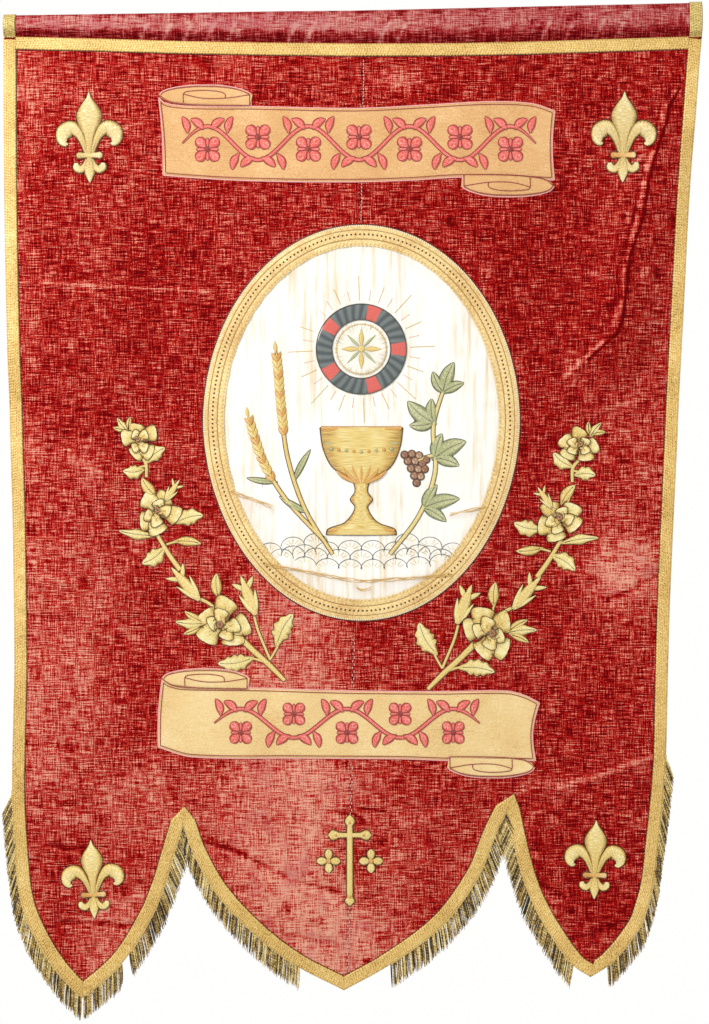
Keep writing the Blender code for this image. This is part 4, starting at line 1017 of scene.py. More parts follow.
for name, x0, x1 in (("galloon_head_left", -439.3, -424.0), ("galloon_head_right", 418.0, 433.6)):
    columns = np.linspace(x0, x1, galloon["columns"] + 1)
    rings = []
    for x in columns:
        section = catmull(sleeveSection(np.clip(x, *sleeveEnds), False)[:9], 1.0)[2:]
        rings.append(even(section + leftOf(section) * -(0.2 + cloth["braidThick"]), count=galloon["headRows"]))
    rings = np.array(rings).transpose(1, 0, 2)
    run, v = runOf(rings[:, 0]), np.linspace(0, 1, len(columns))
    x = np.broadcast_to(columns[None], rings.shape[:2])
    out = rings[..., 0] + zigzag(run, v) * np.sign(rings[..., 0] - 1)
    sewGalloon(name, grid(space(x, rings[..., 1], out), run / 1000, v), "oliveBraid")
# painted shadow under the top galloon and round the outside of the oval frame
below = topLine[::6] - [0, cloth["braidWidth"] + 0.5]
contact += [contactShadowCord(below, 0.2, 0.75), contactShadowCord(ovalLine(-0.9, 160), 0.1, 0.8, closed=True)]
shown["contactShadowCords"] = assemble("contactShadowCords", contact, ["contact"])
print("galloon sewn on")


# Bullion fringe

fringe = {"pitch": 1.5, "varies": 2.2, "radius": 0.92, "behind": 0.6, "rings": 6, "sides": 5}
fringeRows = [  # name, edge, from, to, lean from, lean to, length
    ("fringe_left_outer", "side_left", 0.768, 0.9965, 0.50, 0.04, 31),
    ("fringe_left_tip", "lobe_left", 0.017, 0.257, 0.0, 0.05, 31),
    ("fringe_left_inner", "lobe_left", 0.320, 0.991, 0.20, 0.58, 30),
    ("fringe_centre_left", "centre_left", 0.008, 0.785, 0.16, 0.12, 28.5),
    ("fringe_centre_right", "centre_right", 0.215, 0.991, 0.10, 0.52, 30),
    ("fringe_right_inner", "lobe_right", 0.010, 0.885, 0.50, 0.22, 29.5),
    ("fringe_right_outer", "side_right", 0.022, 0.256, 0.10, 0.40, 28.5),
]
luck = random.Random(29)
for name, edge, shareFrom, shareTo, leanFrom, leanTo, long in fringeRows:
    line = edgeLine(edge, fringe["behind"], 0.8)
    run = runOf(line)
    side = leftOf(line)
    start, end = run[-1] * shareFrom, run[-1] * shareTo
    parts = []
    for layer, (pitch, depth) in enumerate(((fringe["pitch"] * 1.25, -0.7), (fringe["pitch"], 0.9))):
        for at in np.arange(start, end, pitch):
            at = min(max(at + luck.uniform(-0.8, 0.8), start), end)
            k = min(int(np.searchsorted(run, at)), len(line) - 1)
            lean = leanFrom + (leanTo - leanFrom) * (at - start) / (end - start)
            way = np.array([-side[k, 0] * lean, -1.0])
            way /= np.linalg.norm(way)
            length = long + luck.uniform(-fringe["varies"], fringe["varies"]) - 3 * (layer == 0)
            bend, sway = luck.uniform(-1.3, 1.3), luck.uniform(-1.1, 1.1)
            t = np.linspace(0, 1, fringe["rings"])
            path = line[k] + side[k] * 1.6 + way * (t * (length + 1.6))[:, None]
            path = path + np.array([1.0, 0.0]) * (bend * np.sin(t * 3.0))[:, None]
            out = float(hang(*line[k])) + 1.0 + depth + sway * t
            radius = fringe["radius"] * luck.uniform(0.8, 1.15) * (1 - 0.25 * t)
            radius[-1] *= 0.45
            angle = turns(fringe["sides"])
            centre = space(path[:, 0], path[:, 1], out)
            round1 = np.stack([np.cos(angle), -np.sin(angle), np.zeros(len(angle))], 1)
            rings = centre[:, None] + round1[None] * radius[:, None, None] / 1000
            tones = [-0.3, 0.1, 0.3, 0.45, 0.6, 0.8, 1.0] if layer else [-0.3, -0.1, 0.2, 0.4]
            tone = luck.choice(tones)
            parts.append(loft(rings, t * length / 1000 + luck.random() * 0.01,
                              np.arange(fringe["sides"]) / fringe["sides"], "fringe", tone))
    k0, k1 = np.searchsorted(run, start), np.searchsorted(run, end)
    heading = line[k0:k1:3] - side[k0:k1:3] * 0.9
    parts.append(cord(heading, 2.2, 0.85, "goldCord", 6, 1.6))
    shown[name] = assemble(name + "_strands", parts, ["fringe", "goldCord"], [name], 60)
print("fringe knotted")


# Oval of aged silk in its braid frame

silk = {"rings": 44, "spokes": 296, "puckers": 0.35}
silkCreases = [  # points, height, half width
    ([(-155, -602), (-128, -612), (-104, -621)], 2.0, 5), ([(119, -630), (142, -626), (164, -621)], 2.0, 5),
    ([(-114, -692), (-50, -704), (0, -713), (60, -711), (122, -706)], 1.7, 7),
    ([(0, -718), (8, -726), (20, -722)], 1.2, 4), ([(-60, -330), (-40, -420)], 0.7, 8),
    ([(90, -300), (100, -380)], 0.7, 8), ([(-150, -430), (-140, -520)], 0.8, 8),
]


def silkLift(x, z):
    out = np.zeros(x.shape)
    for row in silkCreases:
        out += raised(x, z, *row)
    share = np.hypot((x - oval["x"]) / oval["rx"], (z - oval["z"]) / oval["rz"])
    return out * np.clip((0.90 - share) / 0.05, 0, 1)


def silkStain(co):
    x, z = co[:, 0] * 1000, co[:, 2] * 1000
    stain = np.zeros(x.shape)
    for line, height, half in silkCreases[:4]:
        stain += 0.22 * np.exp(-(awayFrom(x, z + 1.5, line) / 4.0) ** 2)
    share = np.hypot((x - oval["x"]) / oval["rx"], (z - oval["z"]) / oval["rz"])
    return stain + 0.13 * np.clip((share - 0.80) / 0.10, 0, 1)


rim = ovalLine(oval["silkInset"], silk["spokes"])
share = (np.arange(silk["rings"]) + 1) / silk["rings"]
centre = np.array([oval["x"], oval["z"]])
places = centre + (rim - centre)[None] * share[:, None, None]
x, z = places[..., 0], places[..., 1]
angle = turns(silk["spokes"])
pucker = silk["puckers"] * np.sin(angle * 47 + 2 * np.sin(angle * 5))[None]
pucker = pucker * np.clip((share - 0.6) / 0.3, 0, 1)[:, None]
out = hang(x, z) + silkLift(x, z) + pucker * (1 - np.clip((share - 0.93) / 0.05, 0, 1))[:, None]
top = space(x, z, out + cloth["velvetFront"] + cloth["silkThick"]).reshape(-1, 3)
middle = space(centre[0], centre[1], hang(*centre) + cloth["velvetFront"] + cloth["silkThick"])
co = np.concatenate([top, middle[None]])
faces, n = [], silk["spokes"]
for j in range(n):
    k = (j + 1) % n
    faces.append([len(top), k, j])
    faces += [[i * n + j, i * n + k, (i + 1) * n + k, (i + 1) * n + j] for i in range(silk["rings"] - 1)]
ovalSilk = assemble("ovalSilk", [flatPart(co, faces)], ["silk"], ["oval_silk"], wear=silkStain)
faceOutwards(ovalSilk)
if sum(p.normal.y * p.area for p in ovalSilk.data.polygons) > 0:
    ovalSilk.data.flip_normals()
thicken(ovalSilk, cloth["silkThick"])
shown["ovalSilk"] = ovalSilk

frameBraid = {"around": 1060, "columns": 20, "rope": 2.6, "picot": 5.2, "grooves": (0.24, 0.68)}
count = frameBraid["around"]
outer, inner = ovalLine(0, count), ovalLine(oval["frameWidth"], count)
run = runOf(np.concatenate([(outer + inner) / 2, (outer[:1] + inner[:1]) / 2]))[:-1]
v = np.linspace(0, 1, frameBraid["columns"])
inward = (inner - outer) / np.linalg.norm(inner - outer, axis=1)[:, None]
outer = outer - inward * (0.6 * (np.abs(np.sin(math.pi * run / frameBraid["rope"])) - 0.5))[:, None]
inner = inner + inward * (1.1 * (np.abs(np.sin(math.pi * run / frameBraid["picot"])) - 0.5))[:, None]
places = outer[:, None] + (inner - outer)[:, None] * v[None, :, None]
x, z = places[..., 0], places[..., 1]
rows = 0.16 * np.sin(2 * math.pi * (run[:, None] / frameBraid["rope"] + v[None] * 2.4)) * (v < 0.09)
groove = -0.5 * sum(np.exp(-((v - place) / 0.025) ** 2) for place in frameBraid["grooves"])
crown = 0.3 * np.sqrt(np.interp(v, (0, 0.12, 0.24, 0.46, 0.68, 0.84, 1), (0.3, 1, 0, 1, 0, 1, 0.2)))
loop = 0.18 * np.sin(2 * math.pi * (run[:, None] / frameBraid["picot"])) * (v > 0.72)
lift = cloth["braidThick"] + rows + groove[None] + crown[None] + loop
out = hang(x, z) + cloth["velvetFront"] + cloth["silkThick"] * np.clip((v[None] * 26 - 1.5) / 3, 0, 1) + lift
rings = backed(x, z, space(x, z, out), cloth["velvetFront"] - 0.2)
part = loft(rings, run / 1000, np.append(v, [1.0, 0.0]), closed=True)
shown["ovalFrame"] = assemble("ovalFrame", [part], ["frame"], ["oval_frame"])
print("oval framed")


# Embroidery on the silk: cup, disc in a ring, wheat and vine

onSilk = cloth["velvetFront"] + cloth["silkThick"] - 0.15
onVelvet = cloth["velvetFront"] - cloth["sunk"]
middleX, discZ = 8, -424  # the upright axis of the embroidery, and the disc's height
cup = [(middleX, z, half) for z, half in (
    (-656, 44), (-649, 42), (-640, 20), (-622, 8), (-612, 14), (-602, 8), (-588, 12), (-572, 36), (-548, 48),
    (-522, 52))]


def band(z, half, height, look, sag):  # a stripe across the cup
    rows = [(middleX - half, z + sag, height * 0.8), (middleX, z, height), (middleX + half, z + sag, height * 0.8)]
    return stroke(rows, onSilk + 1.2, 0.9, look, 6, 2.0)


parts = [stroke(cup, onSilk, 1.9, "gold", 22, 1.8, 0.1, rim=0.6),
         cord(outlineOf(cup), onSilk + 0.7, 0.55, "outline", closed=True)]
parts += [band(*row) for row in (
    (-524, 50, 3.4, "amber", 1.0), (-545, 45, 2.0, "sage", 3.5), (-560, 40, 1.6, "amber", 4.0),
    (-612, 13, 3.0, "amber", 0.5), (-650, 41, 2.6, "amber", -0.5), (-641, 18, 1.6, "sage", 0.0))]
for i in range(9):
    px, pz = middleX + (i - 4) * 9.4, -552.5 + abs(i - 4) * 0.9
    parts.append(roundPatch(px, pz, 2.4, onSilk + 2.2, 0.9, "amber" if i % 2 else "sage", 0.2, 12, 3))
for i in range(7):  # upright petals on the bowl's foot
    lean = (i - 3) * 0.28
    rows = [(middleX + math.sin(lean) * reach, -592 + math.cos(lean) * rise, half)
            for reach, rise, half in ((7, 0, 1.2), (30, 13, 2.6), (42, 24, 0.6))]
    parts.append(stroke(rows, onSilk + 1.9, 0.7, "amber", 5, 1.4))
shown["cup"] = assemble("cupEmbroidery", parts, ["gold", "amber", "outline", "sage"],
                        ["embroidered_cup"])

parts = [roundPatch(middleX, discZ, 34, onSilk, 0.7, "white", 0.1, 64, 9),
         cord(circle(middleX, discZ, 31, 40), onSilk + 1.0, 0.6, "goldCord", closed=True)]
for i in range(8):
    wide, look = (3.4, "gold") if i % 2 == 0 else (1.8, "sage")
    c, s = math.cos(i * math.pi / 4), math.sin(i * math.pi / 4)
    rows = rayRows(middleX, discZ, c, s, ((4, 0.8), (13, wide), (25, 0.4)))
    parts.append(stroke(rows, onSilk + 1.2, 0.8, look, 6, 1.4))
parts.append(roundPatch(middleX, discZ, 4.4, onSilk + 1.3, 1.0, "gold", 0.3, 16, 3))
shown["disc"] = assemble("discEmbroidery", parts, ["white", "goldCord", "gold", "sage"],
                         ["embroidered_disc"])

angle = turns(120)
v = np.linspace(0, 1, 11)
reach = 37 + 19 * v
px, pz = middleX + np.cos(angle)[:, None] * reach[None], discZ + np.sin(angle)[:, None] * reach[None]
lift = 0.5 + 0.8 * np.sqrt(np.maximum(1 - np.abs(2 * v - 1) ** 3, 0))
rings = backed(px, pz, space(px, pz, hang(px, pz) + onSilk + lift[None]), onSilk)
parts = [loft(rings, angle * 46.5 / 1000, np.append(v, [1.0, 0.0]), closed=True)]
parts += [cord(circle(middleX, discZ, radius, 48), onSilk + 0.9, 0.6, "greyThread", closed=True)
          for radius in (36.6, 56.4)]
shown["ring"] = assemble("ringEmbroidery", parts, ["ring", "greyThread"], ["embroidered_ring"])


def leafRows(x, z, length, half, angle, bow=0.0, teeth=0):
    c, s = cosSin(angle)
    shares = [-0.1, 0.05, 0.25, 0.45, 0.68, 0.88, 1.0]
    if teeth:
        shares = [-0.1] + [0.04 + 0.88 * i / (2 * teeth) for i in range(2 * teeth + 1)] + [1.0]
    rows = []
    for i, share in enumerate(shares):
        width = np.interp(share, (-0.1, 0.05, 0.25, 0.45, 0.68, 0.88, 1.0), (0.12, 0.42, 0.88, 1.0, 0.82, 0.42, 0.04))
        if teeth and 1 < i < len(shares) - 1:
            width *= 1.10 if i % 2 else 0.86
        side = bow * math.sin(share * math.pi)
        rows.append((x + c * length * share - s * side, z + s * length * share + c * side, half * width))
    return rows


def leafParts(x, z, length, half, angle, base, look, puff, outline, teeth=0, vein=None, tone=0.0):
    rows = leafRows(x, z, length, half, angle, half * 0.25, teeth)
    made = [stroke(rows, base, puff, look, 8, 1.5, tone, split=0.7, paintedShadeToTip=0.7),
            rimCord(rows, 1.3, 0.15, base + 0.35, 0.38, outline)]
    if vein is None:
        return made
    made.append(cord([row[:2] for row in rows[1:-1]], base + puff * 0.75 + 0.25, 0.32, vein, 5, 1.8))
    c, s = cosSin(angle)
    for k in range(1, teeth + 1):  # side veins
        share = 0.12 + 0.6 * k / (teeth + 1)
        long = half * (0.62 - abs(share - 0.45) * 0.6)
        px, pz = x + c * length * share, z + s * length * share
        for side in (1, -1):
            across, up = cosSin(angle + side * 42)
            made.append(cord([(px, pz), (px + across * long, pz + up * long)], base + puff * 0.78, 0.24, vein, 4, 1.8))
    return made


def budParts(x, z, length, half, angle, base, prongs):  # a bud, its sepals and the tips that part at its mouth
    c, s = cosSin(angle)
    made = []
    for k in range(prongs):
        turn = angle + (k - (prongs - 1) / 2) * 44
        rows = leafRows(x + c * length * 0.62, z + s * length * 0.62, length * 0.42, half * 0.42, turn)
        made += [stroke(rows, base, 1.3, "pale", 6, 1.7, 0.1), rimCord(rows, 1.3, 0.15, base + 0.35, 0.36, "outline")]
    shares = ((-0.05, 0.28), (0.12, 0.8), (0.32, 1.0), (0.55, 0.86), (0.76, 0.62), (0.84, 0.3))
    rows = [(x + c * length * a, z + s * length * a, half * w) for a, w in shares]
    made += [stroke(rows, base + 0.3, 2.0, "gold", 8, 1.5, 0.1), rimCord(rows, 1.3, 0.15, base + 0.6, 0.38, "outline")]
    for side in (1, -1):
        foot = x - s * side * half * 0.3, z + c * side * half * 0.3
        rows = leafRows(*foot, length * 0.62, half * 0.34, angle + side * 16)
        made += [stroke(rows, base + 1.3, 1.2, "pale", 6, 1.7, 0.2),
                 rimCord(rows, 1.3, 0.1, base + 1.7, 0.32, "outline")]
    return made


def stemParts(rows, base, look, outline, puff=1.0):
    return [stroke(rows, base, puff, look, 6, 1.6), rimCord(rows, 1.8, 0.3, base + 0.3, 0.4, outline)]


wheat = [
    [(-28, -680, 2.2), (-62, -625, 2.4), (-84, -560, 2.4), (-92, -500, 2.2), (-96, -452, 1.6), (-99, -424, 1.0)],
    [(-40, -662, 2.2), (-86, -612, 2.4), (-112, -570, 2.2), (-126, -532, 1.6), (-134, -506, 1.0)],
]
parts = []
for rows, earFrom, grains in ((wheat[0], 0.60, 13), (wheat[1], 0.52, 10)):
    parts += stemParts(rows, onSilk, "gold", "outline")
    path = catmull(rows, 1.0)
    for i in range(grains):
        k = int(len(path) * (earFrom + (0.97 - earFrom) * i / grains))
        along = path[min(k + 3, len(path) - 1), :2] - path[k - 3, :2]
        turn = math.degrees(math.atan2(along[1], along[0]))
        look = "gold" if i % 3 else "amber"
        for side in (1, -1):
            grain = leafRows(path[k, 0], path[k, 1], 13, 2.9, turn + side * 27)
            parts.append(stroke(grain, onSilk + 0.3, 1.3, look, 6, 1.2, 0.2 * side))
    tip = path[-1]
    parts.append(stroke(leafRows(tip[0], tip[1] - 4, 14, 2.6, 95), onSilk + 0.4, 1.2, "gold", 6, 1.2))
for row in ((-60, -628, 40, 4.2, 150), (-76, -588, 44, 4.0, 62), (-100, -590, 36, 3.8, 172)):
    parts += leafParts(*row, onSilk, "sage", 0.8, "outline")
shown["wheat"] = assemble("wheatEmbroidery", parts, ["gold", "amber", "outline", "sage"],
                          ["embroidered_wheat"])

parts = []
for rows in ([(44, -680, 2.4), (80, -632, 2.6), (100, -578, 2.6), (98, -520, 2.4), (112, -470, 2.0)],
             [(100, -556, 2.2), (86, -560, 2.2), (72, -566, 2.2)]):
    parts += stemParts(rows, onSilk, "pale", "greyThread")
for x, z, length, half, angle in ((100, -560, 44, 17, 28), (98, -516, 42, 16, 140), (110, -478, 40, 14, 70),
                                  (86, -622, 46, 15, 14)):
    for turn, size, wide in ((0, 1.0, 0.62), (46, 0.72, 0.46), (-46, 0.72, 0.46)):
        parts += leafParts(x, z, length * size, half * wide, angle + turn, onSilk, "sage", 1.0, "greyThread",
                           vein="greyThread")
for i, (x, z) in enumerate([(62, -556), (71, -555), (80, -557), (89, -562), (66, -564), (75, -564), (84, -567),
                            (70, -573), (79, -574), (87, -574), (74, -582), (82, -583), (77, -591)]):
    parts.append(roundPatch(x, z, 5.0, onSilk + 0.3, 1.5, "brown", 0.2 * (i % 3), 14, 4))
    parts.append(cord(circle(x, z, 5.2, 12), onSilk + 0.5, 0.35, "greyThread", 5, 2.2, closed=True))
tendril = [(98, -520), (84, -508), (74, -514), (78, -524), (86, -518)]
parts.append(cord(tendril, onSilk + 0.5, 0.5, "greyThread", 5, 1.6))
shown["vine"] = assemble("vineEmbroidery", parts, ["sage", "pale", "greyThread", "brown"],
                         ["embroidered_vine"])
parts = []
for i in range(32):  # rays round the ring, long and short by turns
    a = i * math.pi / 16 + 0.04
    reach = (92, 74, 82, 74)[i % 4]
    ray = [(middleX + math.cos(a) * r, discZ + math.sin(a) * r) for r in (61, reach)]
    parts.append(cord(ray, onSilk + 0.25, 0.5, "seam" if i % 2 else "goldCord", 5, 2.4))
fray = random.Random(8)
for line, _, _ in silkCreases[:4]:
    for shift in (-1.3, 0.1, 1.4):
        path = catmull(line, 7.0)
        path = path + [[fray.uniform(-0.8, 0.8), shift + fray.uniform(-0.9, 0.9)] for _ in path]
        out = onSilk + 0.15 + silkLift(*path[len(path) // 2])
        parts.append(cord(path, out, 0.42, "ochreThread", 5, 2.2))
scales = {"radius": 15.0, "rowsDown": (-663, -675, -687, -699), "across": (3, 4, 4, 3)}
for row, (z, wide) in enumerate(zip(scales["rowsDown"], scales["across"])):
    for k in range(-wide, wide + 1):
        x = middleX + (k + 0.5 * (row % 2)) * scales["radius"] * 1.9
        z0 = z - 0.0011 * (x - middleX) ** 2 * (1 if row < 2 else -0.6)
        if row == 0 and abs(x - middleX) < 46:
            continue
        arc = [(x + scales["radius"] * math.cos(t), z0 + scales["radius"] * 0.82 * math.sin(t))
               for t in np.linspace(0, math.pi, 9)]
        parts.append(cord(arc, onSilk + 0.3, 0.42, "greyThread", 5, 2.2))
        for t in np.linspace(0.5, math.pi - 0.5, 5):
            rib = [(x + a * math.cos(t), z0 + b * math.sin(t)) for a, b in ((5, 4), (12, 10))]
            parts.append(cord(rib, onSilk + 0.2, 0.32, "pale", 4, 2.6))
shown["silkThreads"] = assemble("silkThreads", parts, ["goldCord", "seam", "greyThread", "pale", "ochreThread"])
print("silk embroidered")


# Ribbon panels with their curls, cords and the running ornament

ribbons = {
    "upper": {
        "top": [(-245.5, -109), (-238, -116), (-216, -119.5), (-187, -120.5), (-130, -120.5), (0, -123), (85, -119),
                (169, -114.5), (222, -117), (250, -126)],
        "foot": [(-240, -206), (-161, -212), (-90, -214.5), (0, -215), (67, -213), (134, -209), (249.5, -212)],
        "span": (-216, 226), "bowls": 7, "middle": -166.5, "swing": 21, "flower": 19, "look": "ribbonTop",
        "bow": (2.0, 3.0),
    },
    "lower": {
        "top": [(-241, -835.5), (-234, -842), (-214, -846.5), (-131, -847.5), (-8, -851), (110, -852), (189, -851.5),
                (212, -857), (231, -866.5)],
        "foot": [(-246, -921.5), (-204, -933.5), (-71, -935), (58, -936), (117, -938), (226, -938.5)],
        "span": (-176, 156), "bowls": 5, "middle": -891.5, "swing": 18, "flower": 17, "look": "ribbonFoot",
        "bow": (-2.0, 6.0),
    },
}
curls = {  # middle x, z, half length, half height, 1 or -1 for one turned over
    "upper_left": (-187.5, -106.2, 57.5, 12.5, 1), "upper_right": (191.9, -220.0, 57.5, 13.5, -1),
    "lower_left": (-187.2, -835.6, 54.0, 12.0, 1), "lower_right": (171.0, -946.9, 54.0, 13.0, -1),
}
curlTop = [(-1, 0.0), (-0.92, 0.38), (-0.7, 0.72), (-0.35, 0.95), (0, 1), (0.4, 0.93), (0.75, 0.62), (1, 0.1)]
curlFoot = [(-1, 0.0), (-0.92, -0.45), (-0.72, -0.80), (-0.35, -1.02), (0, -1.1), (0.5, -1.15), (1, -1.2)]
curlLines = [  # the rolled end, in half lengths and half heights from its middle
    [(-1, 0.0), (-0.8, -0.62), (-0.5, -0.88), (0, -1.02), (0.5, -1.05), (0.96, -1.05)],
    [(-0.47, -0.75), (-0.47, 0.1), (-0.42, 0.32), (0, 0.46), (0.34, 0.30), (0.44, 0.05), (0.44, -0.3)],
    [(-0.47, 0.1), (-0.2, -0.22), (0.07, -0.36), (0.5, -0.30), (0.97, 0.02)],
    [(0.97, 0.05), (0.97, -1.05)],
]
onRibbon = cloth["velvetFront"] + cloth["ribbonThick"] + 0.15


def ribbonStroke(rows, spacing):  # a satin stroke on the ribbon and the thread round it
    base = onRibbon - 0.2
    return [stroke(rows, base, 0.6, "red", 6, spacing, 0.1, rim=0.35),
            rimCord(rows, spacing, 0.25, base + 0.3, 0.45, "redCord", 1.9)]


def ornament(x, z, size):  # a four-petalled flower with a small leaf between its petals
    made = []
    for i in range(8):
        angle = math.pi / 4 + i * math.pi / 4
        reach, half = (size, size * 0.34) if i % 2 == 0 else (size * 0.74, size * 0.11)
        rows = [(reach * t, half * w) for t, w in ((0.22, 0.25), (0.5, 0.9), (0.76, 1), (0.92, 0.6), (1, 0.12))]
        made += ribbonStroke(rayRows(x, z, math.cos(angle), math.sin(angle), rows), 1.8)
    made.append(roundPatch(x, z, size * 0.17, onRibbon, 0.7, "redCord", 0.2, 12, 3))
    return made


for name, row in ribbons.items():
    top, foot = catmull(row["top"], 3.0), catmull(row["foot"], 3.0)
    count = max(len(top), len(foot))
    top, foot = even(top, count=count), even(foot, count=count)
    v = np.linspace(0, 1, 30)
    places = top[:, None] + (foot - top)[:, None] * v[None, :, None]
    share = np.linspace(0, 1, count)
    bow = row["bow"][0] * np.clip(1 - share / 0.06, 0, 1) - row["bow"][1] * np.clip(1 - (1 - share) / 0.06, 0, 1)
    places[..., 0] += bow[:, None] * np.sin(math.pi * v)[None]
    x, z = places[..., 0], places[..., 1]
    edge = 0.15 * np.exp(-(np.minimum(v, 1 - v) * 30) ** 2)
    out = hang(x, z) + cloth["velvetFront"] - 0.15 + cloth["ribbonThick"] + 0.12 * np.sin(x / 17 + z / 23) - edge[None]
    part = grid(space(x, z, out), runOf(top) / 1000, v)
    panel = assemble("ribbon_" + name + "_cloth", [part], [row["look"]], ["ribbon_" + name])
    thicken(panel, cloth["ribbonThick"])
    shown["ribbon_" + name] = panel
    rimLine = np.concatenate([places[:, 0], places[-1, 1:-1], places[::-1, -1], places[0, -2:0:-1]])
    parts = [cord(rimLine, cloth["velvetFront"] + 0.5, 0.85, "pinkCord", 6, 2.2, closed=True)]
    inner = np.concatenate([places[1:-1, 1], places[-2, 2:-2], places[-2:0:-1, -2], places[1, -3:1:-1]])
    parts.append(cord(inner, onRibbon + 0.05, 0.55, "redCord", 6, 2.2, closed=True))
    for curl, (midX, midZ, halfX, halfZ, way) in curls.items():
        if not curl.startswith(name):
            continue
        at = np.concatenate([[-1, -0.985, -0.95, -0.9], np.linspace(-0.82, 1, 15)])
        over = np.interp(at, *np.array(curlTop).T)
        under = np.interp(at, *np.array(curlFoot).T)
        rows = [(midX + way * halfX * a, midZ + way * halfZ * (o + b) / 2, max(halfZ * (o - b) / 2, 0.3))
                for a, o, b in zip(at, over, under)]
        roll = stroke(rows, onVelvet, 1.0, 0, 14, 2.0, 0.1, rim=1.35)
        piece = assemble("curl_" + curl + "_cloth", [roll], [row["look"]], ["curl_" + curl])
        shown["curl_" + curl] = piece
        rim = [(midX + way * halfX * a, midZ + way * halfZ * b) for a, b in curlTop + [(1.0, -0.5), (1.0, -1.1)]]
        parts.append(cord(rim, cloth["velvetFront"] + 0.6, 0.85, "pinkCord", 6, 2.2))
        near = [(midX + way * (halfX - 2) * a, midZ + way * (halfZ - 2) * b) for a, b in curlTop]
        parts.append(cord(near, onRibbon + 0.75, 0.55, "redCord", 6, 2.2))
        for line in curlLines:
            fold = [(midX + way * a * halfX, midZ + way * b * halfZ) for a, b in line]
            parts.append(cord(fold, onRibbon + 1.1, 0.55, "redCord"))
    shown["cords_" + name] = assemble("ribbon_" + name + "_cords", parts, ["pinkCord", "redCord"])
    x0, x1 = row["span"]
    bowls = row["bowls"]
    wave = [(x0 + (x1 - x0) * t, row["middle"] + row["swing"] * math.sin(t * bowls * math.pi),
             2.1 * min(1, 12 * t + 0.2, 12 * (1 - t) + 0.2)) for t in np.linspace(0, 1, 14 * bowls)]
    parts = ribbonStroke(wave, 2.4)
    for i in range(bowls):
        x = x0 + (x1 - x0) * (i + 0.5) / bowls
        up = 1 if i % 2 == 0 else -1
        parts += ornament(x, row["middle"] - up * (39 - row["swing"] - row["flower"] * 0.55), row["flower"])
        crest = row["middle"] + up * row["swing"]
        for side in (1, -1):
            for reach, long, half, turn in ((6, 19, 5.0, 38), (25, 20, 4.6, 14)):
                angle = (90 if up > 0 else 270) - side * up * turn * 1.4
                foot = x + side * reach, crest - up * (1 + reach * 0.22)
                parts += ribbonStroke(leafRows(*foot, long, half, angle, side * 2.0), 2.0)
    shown["ornament_" + name] = assemble("ribbon_" + name + "_ornament", parts, ["red", "redCord"])
print("ribbons laid")


# Fleurs-de-lis, padded and satin stitched

fleurShape = [  # mirrored, look, puff, rows of x, z, half width for a height of 1
    (True, 0, 2.6, [(0.03, 0.30, 0.026), (0.07, 0.42, 0.034), (0.135, 0.54, 0.052), (0.225, 0.605, 0.082),
                    (0.315, 0.565, 0.094), (0.345, 0.49, 0.070), (0.315, 0.435, 0.040), (0.275, 0.43, 0.010)]),
    (False, 0, 2.8, [(0, 0.28, 0.034), (0, 0.42, 0.044), (0, 0.54, 0.072), (0, 0.66, 0.128), (0, 0.76, 0.140),
                     (0, 0.86, 0.090), (0, 0.94, 0.030), (0, 1.0, 0.006)]),
    (True, 0, 2.0, [(0.02, 0.27, 0.024), (0.06, 0.19, 0.032), (0.115, 0.145, 0.044), (0.165, 0.17, 0.046),
                    (0.175, 0.215, 0.024)]),
    (False, 0, 2.2, [(0, 0.29, 0.030), (0, 0.20, 0.050), (0, 0.12, 0.062), (0, 0.05, 0.034), (0, 0.0, 0.006)]),
    (False, 1, 3.2, [(-0.165, 0.30, 0.022), (-0.14, 0.30, 0.040), (-0.08, 0.30, 0.034), (0.08, 0.30, 0.034),
                     (0.14, 0.30, 0.040), (0.165, 0.30, 0.022)]),
]
fleurs = [  # name, x, foot, height, width, tilt
    ("fleur_upper_left", -331.0, -216.0, 113.0, 0.86, -1.0), ("fleur_upper_right", 334.5, -215.0, 113.0, 0.82, 1.5),
    ("fleur_lower_left", -325.5, -1135.0, 97.0, 0.97, -3.0), ("fleur_lower_right", 299.0, -1111.0, 98.0, 0.92, 1.5),
]
for name, x, foot, height, width, tilt in fleurs:
    c, s = cosSin(tilt)
    parts = []
    for mirrored, look, puff, rows in fleurShape:
        for side in (1, -1) if mirrored else (1,):
            placed = []
            for u, up, half in rows:
                u *= side * width
                placed.append((x + (u * c + up * s) * height, foot + (up * c - u * s) * height, half * height))
            parts.append(stroke(placed, onVelvet, puff, look, 12, 1.3, 0.10, rim=0.8, paintedShadeToTip=0.9))
            parts.append(rimCord(placed, 1.4, 0.3, cloth["velvetFront"] + (1.6 if look else 0.5), 0.45, "outline", 1.8))
    for side in (1, -1):  # a second thread along the middle of the side petals
        line = [(x + (side * width * u * c + up * s) * height, foot + (up * c - side * width * u * s) * height)
                for u, up in ((0.05, 0.36), (0.10, 0.48), (0.17, 0.56), (0.25, 0.59), (0.31, 0.55))]
        parts.append(cord(line, onVelvet + 3.0, 0.3, "goldCord", 5, 2.0))
    tints = ["straw", "straw" if "left" in name else "amber"] if "upper" in name else ["gold", "amber"]
    shown[name] = assemble(name + "_satin", parts, tints + ["outline", "goldCord"], [name])
print("fleurs padded")


# Rose sprays: stems, toothed leaves, buds and roses of overlapping petals

